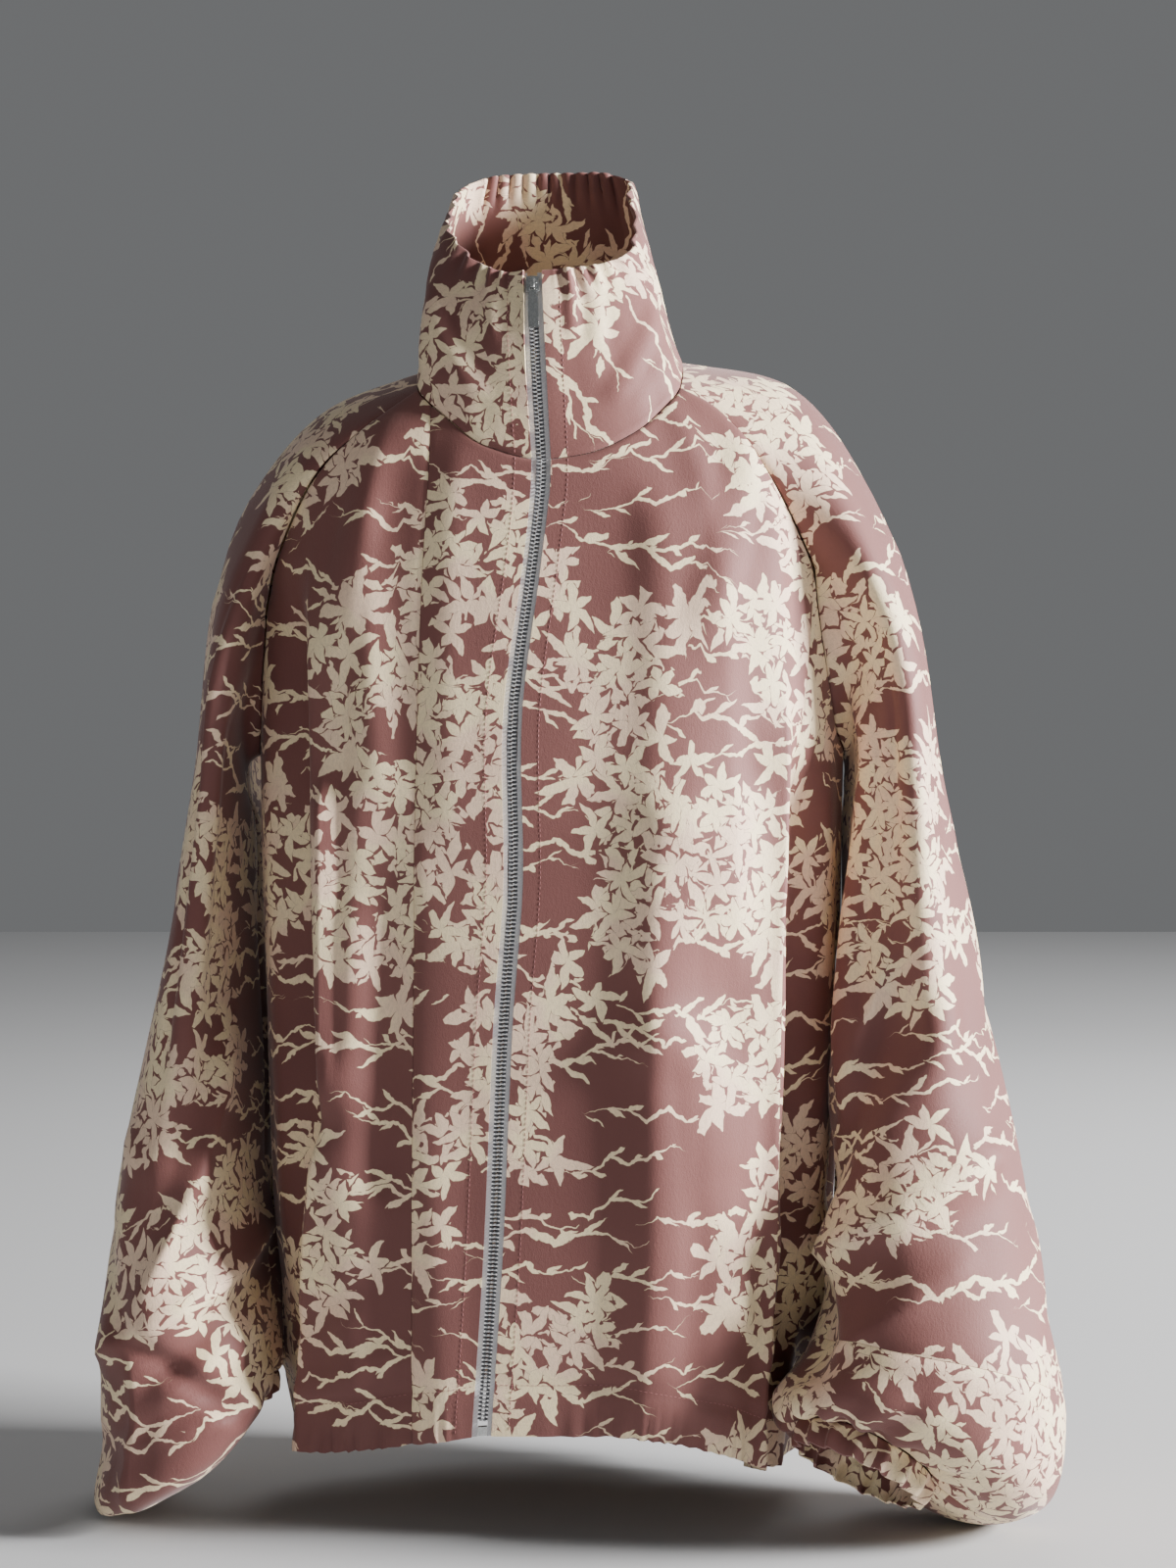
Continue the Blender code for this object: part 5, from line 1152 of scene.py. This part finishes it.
def makeCrepe():
    book = ShaderBook("crepe")
    place = book.node("ShaderNodeUVMap", {"uv_map": "cut"})
    shade = book.soft(book.noise(place, 1 / crepe["shadeSize"], 3.0), 0.3, 0.7)
    ground = book.mixColour(shade, crepe["ground"], crepe["groundLight"])
    tone = book.soft(book.noise(place, 1 / crepe["toneSize"], 2.0), 0.46, 0.62)
    # the bare rim round a leaflet widens, thins and closes from place to place
    parting = book.soft(book.noise(place, 1 / crepe["partingSize"], 1.0), 0.40, 0.66) * crepe["partingWidth"]
    colour, layers = ground, []
    for branch in crepe["branches"]:
        layers.append(levelBranch(book, place, *branch))
        cream = book.mixColour(tone * 0.8, crepe["cream"], crepe["pinkCream"])
        colour = book.mixColour(layers[-1], colour, cream)
    for *spray, pink in crepe["sprays"]:
        layer, rim = leafSpray(book, place, parting, *spray)
        layers.append(layer)
        cream = book.mixColour((tone + pink).math("MINIMUM", 1.0), crepe["cream"], crepe["pinkCream"])
        colour = book.mixColour(layer, book.mixColour(rim, colour, ground), cream)
    ink = layers[0]
    for layer in layers[1:]:
        ink = ink.math("MAXIMUM", layer)
    # crepe: short crooked ribs, longer down the cloth than across it
    ribs, pebble = (book.noise(book.vector("MULTIPLY", place, (1 / wide, 1 / tall, 1)), 1.0, 2.0)
                    for wide, tall in (crepe["rib"], crepe["pebble"]))
    height = ribs * crepe["ribShare"] + pebble * (1 - crepe["ribShare"])
    # painted shade: where the weave's bump height is low, the colour darkens towards the near-black colour,
    # for the shade in its low places
    hollow = (1.0 - book.soft(height, 0.36, 0.60)) * crepe["hollowShare"]
    book.feed({"Base Color": book.mixColour(hollow, colour, crepe["hollow"]),
               "Normal": book.bump(*crepe["bump"], height),
               "Roughness": crepe["roughness"] + (height - 0.5) * 0.18 - ink * 0.03,
               "Sheen Weight": crepe["sheen"], "Sheen Roughness": crepe["sheenRoughness"],
               "Sheen Tint": (*crepe["sheenTint"], 1), "Specular IOR Level": crepe["specular"]})
    return book.material


crepeCloth = makeCrepe()
for thing in cloth:
    thing.data.materials.append(crepeCloth)
print("crepe finished")


# ---- zip and thread finishes

metal = dict(colour=(0.95, 0.95, 0.95), dark=(0.76, 0.76, 0.77), roughness=0.24, metallic=0.85)
polished = dict(colour=(0.56, 0.57, 0.56), dark=(0.44, 0.45, 0.44), roughness=0.20, metallic=0.95)
# painted shade: the tapes' edges under the teeth are given a near-black colour for the shade between the
# teeth
tape = dict(colour=(0.74, 0.74, 0.76), edgeShadeColour=(0.10, 0.10, 0.11), rib=0.0009, warp=0.0007)
threadColour = (0.40, 0.16, 0.16)


def startFinish(name):
    book = ShaderBook(name)
    return book, book.out(book.node("ShaderNodeTexCoord"), "Object")


def endFinish(book, share, dark, colour, roughness, *bump):
    # bump: its strength, distance and height
    book.feed({"Base Color": book.mixColour(share, dark, colour), "Roughness": roughness,
               "Normal": book.bump(*bump)})
    return book.material


def darker(colour, share):
    return tuple(share * c for c in colour)


def makeMetal(name, looks):
    book, place = startFinish(name)
    cloud = book.noise(place, 900.0, 3.0, "3D")
    brush = book.noise(book.vector("MULTIPLY", place, (6000.0, 6000.0, 900.0)), 1.0, 1.0, "3D")
    book.feed({"Metallic": looks["metallic"]})
    return endFinish(book, book.soft(cloud, 0.35, 0.7), looks["dark"], looks["colour"],
                     looks["roughness"] + (cloud - 0.5) * 0.20, 0.15, 0.0001, brush)


def makeTape(name, colour):
    book, place = startFinish(name)
    x, _, z = book.split(place)
    rib = ((z + x * 0.35) * (2 * math.pi / tape["rib"])).math("SINE")
    warp = (x * (2 * math.pi / tape["warp"])).math("SINE")
    height = rib * 0.5 + warp * 0.3
    # painted shade: the tape darkens to 0.78 of its colour in the grooves between its ribs, where the bump
    # height is low
    return endFinish(book, book.soft(height, -0.8, 0.8), darker(colour, 0.78), colour, 0.82,
                     0.5, 0.0003, height)


def makeThread():
    book, place = startFinish("thread")
    strand = book.noise(place, 2600.0, 1.0, "3D")
    # painted shade: the thread darkens to 0.75 of its colour where its bump height is low
    return endFinish(book, strand, darker(threadColour, 0.75), threadColour, 0.6, 0.3, 0.0002, strand)


zipMetal, sliderMetal = makeMetal("zipMetal", metal), makeMetal("sliderMetal", polished)
sewingThread = makeThread()
# painted shade: the near-black finish of the tapes' edges stands for the shade between the teeth
zipTape, shadedTapeEdge = makeTape("zipTape", tape["colour"]), makeTape("shadedTapeEdge", tape["edgeShadeColour"])


def roundedCopy(node, rider, width):
    # a cast fitting: the CAD shape with its edges rounded, so that they catch the light
    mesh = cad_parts[node].data.copy()
    bm = bmesh.new()
    bm.from_mesh(mesh)
    bmesh.ops.remove_doubles(bm, verts=bm.verts, dist=1e-6)
    bmesh.ops.dissolve_limit(bm, angle_limit=math.radians(1), verts=bm.verts, edges=bm.edges)
    sharp = [edge for edge in bm.edges
             if len(edge.link_faces) == 2 and edge.calc_face_angle() > math.radians(40)]
    made = bmesh.ops.bevel(bm, geom=sharp, offset=width, segments=2, profile=0.5, affect="EDGES",
                           clamp_overlap=True)
    for face in made["faces"]:
        face.smooth = True
    bmesh.ops.triangulate(bm, faces=bm.faces)
    bm.to_mesh(mesh)
    bm.free()
    mesh.materials.clear()
    mesh.materials.append(sliderMetal)
    thing = addThing(node + "_cast", mesh)
    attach(thing, rider)
    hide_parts(node)


for node, rider in (("zip_box", "jacket"), ("zip_slider", "jacket"), ("zip_pull", "pull_tab")):
    roundedCopy(node, rider, 0.0003)
for node in ("zip_tape_left", "zip_tape_right"):
    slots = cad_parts[node].data.materials
    slots.clear()
    slots.append(zipTape)
print("zip and thread finished")


# ---- rows of small things along a path, by Geometry Nodes: teeth and stitches

class GeometryBook(Book):
    def __init__(self, name, **inputs):
        self.tree, self.names = bpy.data.node_groups.new(name, "GeometryNodeTree"), {}
        face = self.tree.interface
        face.new_socket("Path", in_out="INPUT", socket_type="NodeSocketGeometry")
        for label, value in inputs.items():
            socket = face.new_socket(label, in_out="INPUT", socket_type="NodeSocketFloat")
            socket.default_value = value
            self.names[label] = socket.identifier
        face.new_socket("Result", in_out="OUTPUT", socket_type="NodeSocketGeometry")
        self.given = self.tree.nodes.new("NodeGroupInput").outputs
        self.end = self.tree.nodes.new("NodeGroupOutput")

    def shape(self, kind, sizes, change):
        # a plain mesh, moved, turned or scaled
        return self.node("GeometryNodeTransform", {}, {"Geometry": self.node(kind, {}, sizes), **change})

    def alongPath(self, thing, material):
        # the thing at each pitch of the path: its Y runs along the path, its Z faces out of the cloth
        curve = self.node("GeometryNodeMeshToCurve", {}, [self.given["Path"]])
        length = self.node("GeometryNodeCurveLength", {}, [curve])
        trimmed = self.node("GeometryNodeTrimCurve", {"mode": "LENGTH"},
                            {"Curve": curve, 4: self.given["Start"], 5: length})   # 4 start, 5 end
        resampled = self.node("GeometryNodeResampleCurve", {"mode": "LENGTH"},
                              {"Curve": trimmed, "Length": self.given["Pitch"]})
        points = self.node("GeometryNodeCurveToPoints", {"mode": "EVALUATED"}, {"Curve": resampled})
        out = self.node("GeometryNodeInputNamedAttribute", {"data_type": "FLOAT_VECTOR"}, {"Name": "outward"})
        turned = self.node("FunctionNodeAxesToRotation", {"primary_axis": "Y", "secondary_axis": "Z"},
                           {"Primary Axis": points.node.outputs["Tangent"], "Secondary Axis": out})
        placed = self.node("GeometryNodeInstanceOnPoints", {},
                           {"Points": points, "Instance": thing, "Rotation": turned})
        solid = self.node("GeometryNodeRealizeInstances", {}, [placed])
        dressed = self.node("GeometryNodeSetMaterial", {}, {"Geometry": solid, "Material": material})
        self.tree.links.new(dressed, self.end.inputs[0])


# a tooth's legs, head and foot: place across the row, and size
zipper = dict(tooth=0.00254, firstTooth=0.0006, tapeWall=0.0010, layGap=0.0003, belowTop=0.0075,
              aboveFoot=0.0062, cord=(0.0009, 0.0031), cordWall=0.0008,
              legs=(0.00165, (0.0024, 0.00136, 0.0026)), head=(0.00025, 0.00088, 1.35),
              foot=(0.00255, 0.00062, 0.0026))
seams = dict(zipStitch=0.0105, hemStitch=0.032, proud=0.00012,
             pitch=0.0032, length=0.0023, thickness=0.00042, start=0.001)


def stitchTree():
    book = GeometryBook("stitchRow", Pitch=seams["pitch"], Start=seams["start"])
    wide, long = seams["thickness"], seams["length"]
    bead = book.shape("GeometryNodeMeshUVSphere", {"Segments": 6, "Rings": 4, "Radius": 0.5},
                      {"Scale": (wide, long, wide)})
    book.alongPath(bead, sewingThread)
    return book


def toothTree():
    # a metal tooth: its legs clamp the tape, its head meets the other row's heads
    book = GeometryBook("toothRow", Pitch=zipper["tooth"], Start=0.0, Side=1.0)
    side = book.given["Side"]
    at, size = zipper["legs"]
    legs = book.shape("GeometryNodeMeshCylinder", {"Vertices": 8, "Radius": 0.5, "Depth": 1.0},
                      {"Translation": (at, 0, 0), "Rotation": (0, math.pi / 2, 0), "Scale": size})
    at, radius, stretch = zipper["head"]
    head = book.shape("GeometryNodeMeshUVSphere", {"Segments": 8, "Rings": 6, "Radius": radius},
                      {"Translation": (at, 0, 0), "Scale": (1.0, 1.0, stretch)})
    at, radius, deep = zipper["foot"]
    foot = book.shape("GeometryNodeMeshCylinder", {"Vertices": 8, "Radius": radius, "Depth": deep},
                      {"Translation": (at, 0, 0)})
    joined = book.node("GeometryNodeJoinGeometry")
    for part in (legs, head, foot):
        book.tree.links.new(part, joined.node.inputs[0])
    flip = book.node("ShaderNodeCombineXYZ", {}, [side, 1.0, 1.0])
    sided = book.node("GeometryNodeTransform", {}, {"Geometry": joined, "Scale": flip})
    other = book.node("ShaderNodeMath", {"operation": "LESS_THAN"}, [side, 0.0])
    flipped = book.node("GeometryNodeFlipFaces", {}, {"Mesh": sided})
    chosen = book.node("GeometryNodeSwitch", {"input_type": "GEOMETRY"},
                       {"Switch": other, "False": sided, "True": flipped})
    book.alongPath(chosen, zipMetal)
    return book


def growRow(book, points, outward, **sizes):
    # runs the tree on a path and keeps the plain mesh that it makes
    mesh = bpy.data.meshes.new("path")
    mesh.from_pydata(points.tolist(), [(i, i + 1) for i in range(len(points) - 1)], [])
    mesh.attributes.new("outward", "FLOAT_VECTOR", "POINT").data.foreach_set("vector", outward.reshape(-1))
    path = addThing("path", mesh)
    modifier = path.modifiers.new("row", "NODES")
    modifier.node_group = book.tree
    for label, value in sizes.items():
        modifier[book.names[label]] = value
    grown = bpy.data.meshes.new_from_object(path.evaluated_get(bpy.context.evaluated_depsgraph_get()))
    bpy.data.objects.remove(path)
    bpy.data.meshes.remove(mesh)
    return grown


def joinedRows(name, meshes):
    bm = bmesh.new()
    for mesh in meshes:
        bm.from_mesh(mesh)
    bm.to_mesh(meshes[0])
    bm.free()
    thing = addThing(name, meshes[0])
    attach(thing, "jacket")
    return thing


def zipPath():
    # the middle of the chain: halfway between the two front edges and a wall behind them
    high, edges = panels["collar"], []
    for side, column in ((left, 0), (right, -1)):
        front = panels[f"front_{sideWord[side]}_centre"]
        edges.append([np.concatenate([high[key][:-1, column], front[key][:, 0]])
                      for key in ("points", "normals")])
    (a, outA), (b, outB) = edges
    across, out = unit(a - b), unit(outA + outB)
    out = unit(out - across * (out * across).sum(axis=1, keepdims=True))
    wall = np.where(np.arange(len(a)) < len(high["points"]) - 1, collar["wall"], body["wall"])
    middle = (a + b) / 2 - out * (wall + zipper["layGap"] + zipper["tapeWall"] / 2)[:, None]
    height = middle[:, 2]
    keep = (height < height[0] - zipper["belowTop"]) & (height > height[-1] + zipper["aboveFoot"])
    return middle[keep], out[keep], across[keep]


def makeTeeth():
    path, outward, across = zipPath()
    for side, word in sideWord.items():   # the tapes' edges, which the legs clamp
        edge = np.stack([path + across * side * reach for reach in zipper["cord"]], axis=1)
        half = outward[:, None] * zipper["cordWall"] / 2
        thing = wallMesh(f"tape_edge_{word}", edge + half, edge - half, np.stack(gridLengths(edge), -1))
        # painted shade: near black, for the shade between the teeth
        thing.data.materials.append(shadedTapeEdge)
        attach(thing, "jacket")
    tree, start = toothTree(), zipper["firstTooth"]
    rows = [growRow(tree, path, outward, Start=start, Side=1.0),
            growRow(tree, path, outward, Start=start + zipper["tooth"] / 2, Side=-1.0)]
    teeth = joinedRows("zip_teeth", rows)
    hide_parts("zip_chain")
    print("teeth:", len(teeth.data.polygons), "faces")


makeTeeth()

def makeStitches():
    tree, rows = stitchTree(), []

    def sew(node, distance, turned):
        # turned: lays the panel's grid so that each row starts at the edge and crosses the line
        plain, points, normals = (turned(panels[node][key]) for key in ("plain", "points", "normals"))
        lengths = gridLengths(plain)[0]
        line, outs = (np.array([[np.interp(distance, lengths[r], grid[r, :, k]) for k in range(3)]
                                for r in range(1, len(grid) - 1)]) for grid in (points, normals))
        outs = unit(outs)
        rows.append(growRow(tree, line + outs * seams["proud"], outs))

    for word in ("left", "right"):
        sew(f"front_{word}_centre", seams["zipStitch"], lambda grid: grid)
        for node in (f"front_{word}_centre", f"front_{word}_side", f"back_{word}"):
            sew(node, seams["hemStitch"], lambda grid: grid[::-1].swapaxes(0, 1))
    for way in (1, -1):
        sew("collar", seams["zipStitch"], lambda grid: grid[:, ::way])
    stitches = joinedRows("topstitching", rows)
    print("stitches:", len(stitches.data.polygons), "faces")


makeStitches()


# ---- floor

def addFloor():
    reach, height = studio["floorReach"], studio["floorHeight"]
    corners = [(x * reach, y * reach, height) for x, y in ((-1, -1), (1, -1), (1, 1), (-1, 1))]
    mesh = bpy.data.meshes.new("floor")
    mesh.from_pydata(corners, [], [(0, 1, 2, 3)])
    floor = addThing("floor", mesh)
    book = ShaderBook("paleFloor")
    book.feed({"Base Color": (*studio["floorColour"], 1), "Roughness": studio["floorRoughness"]})
    mesh.materials.append(book.material)


addFloor()
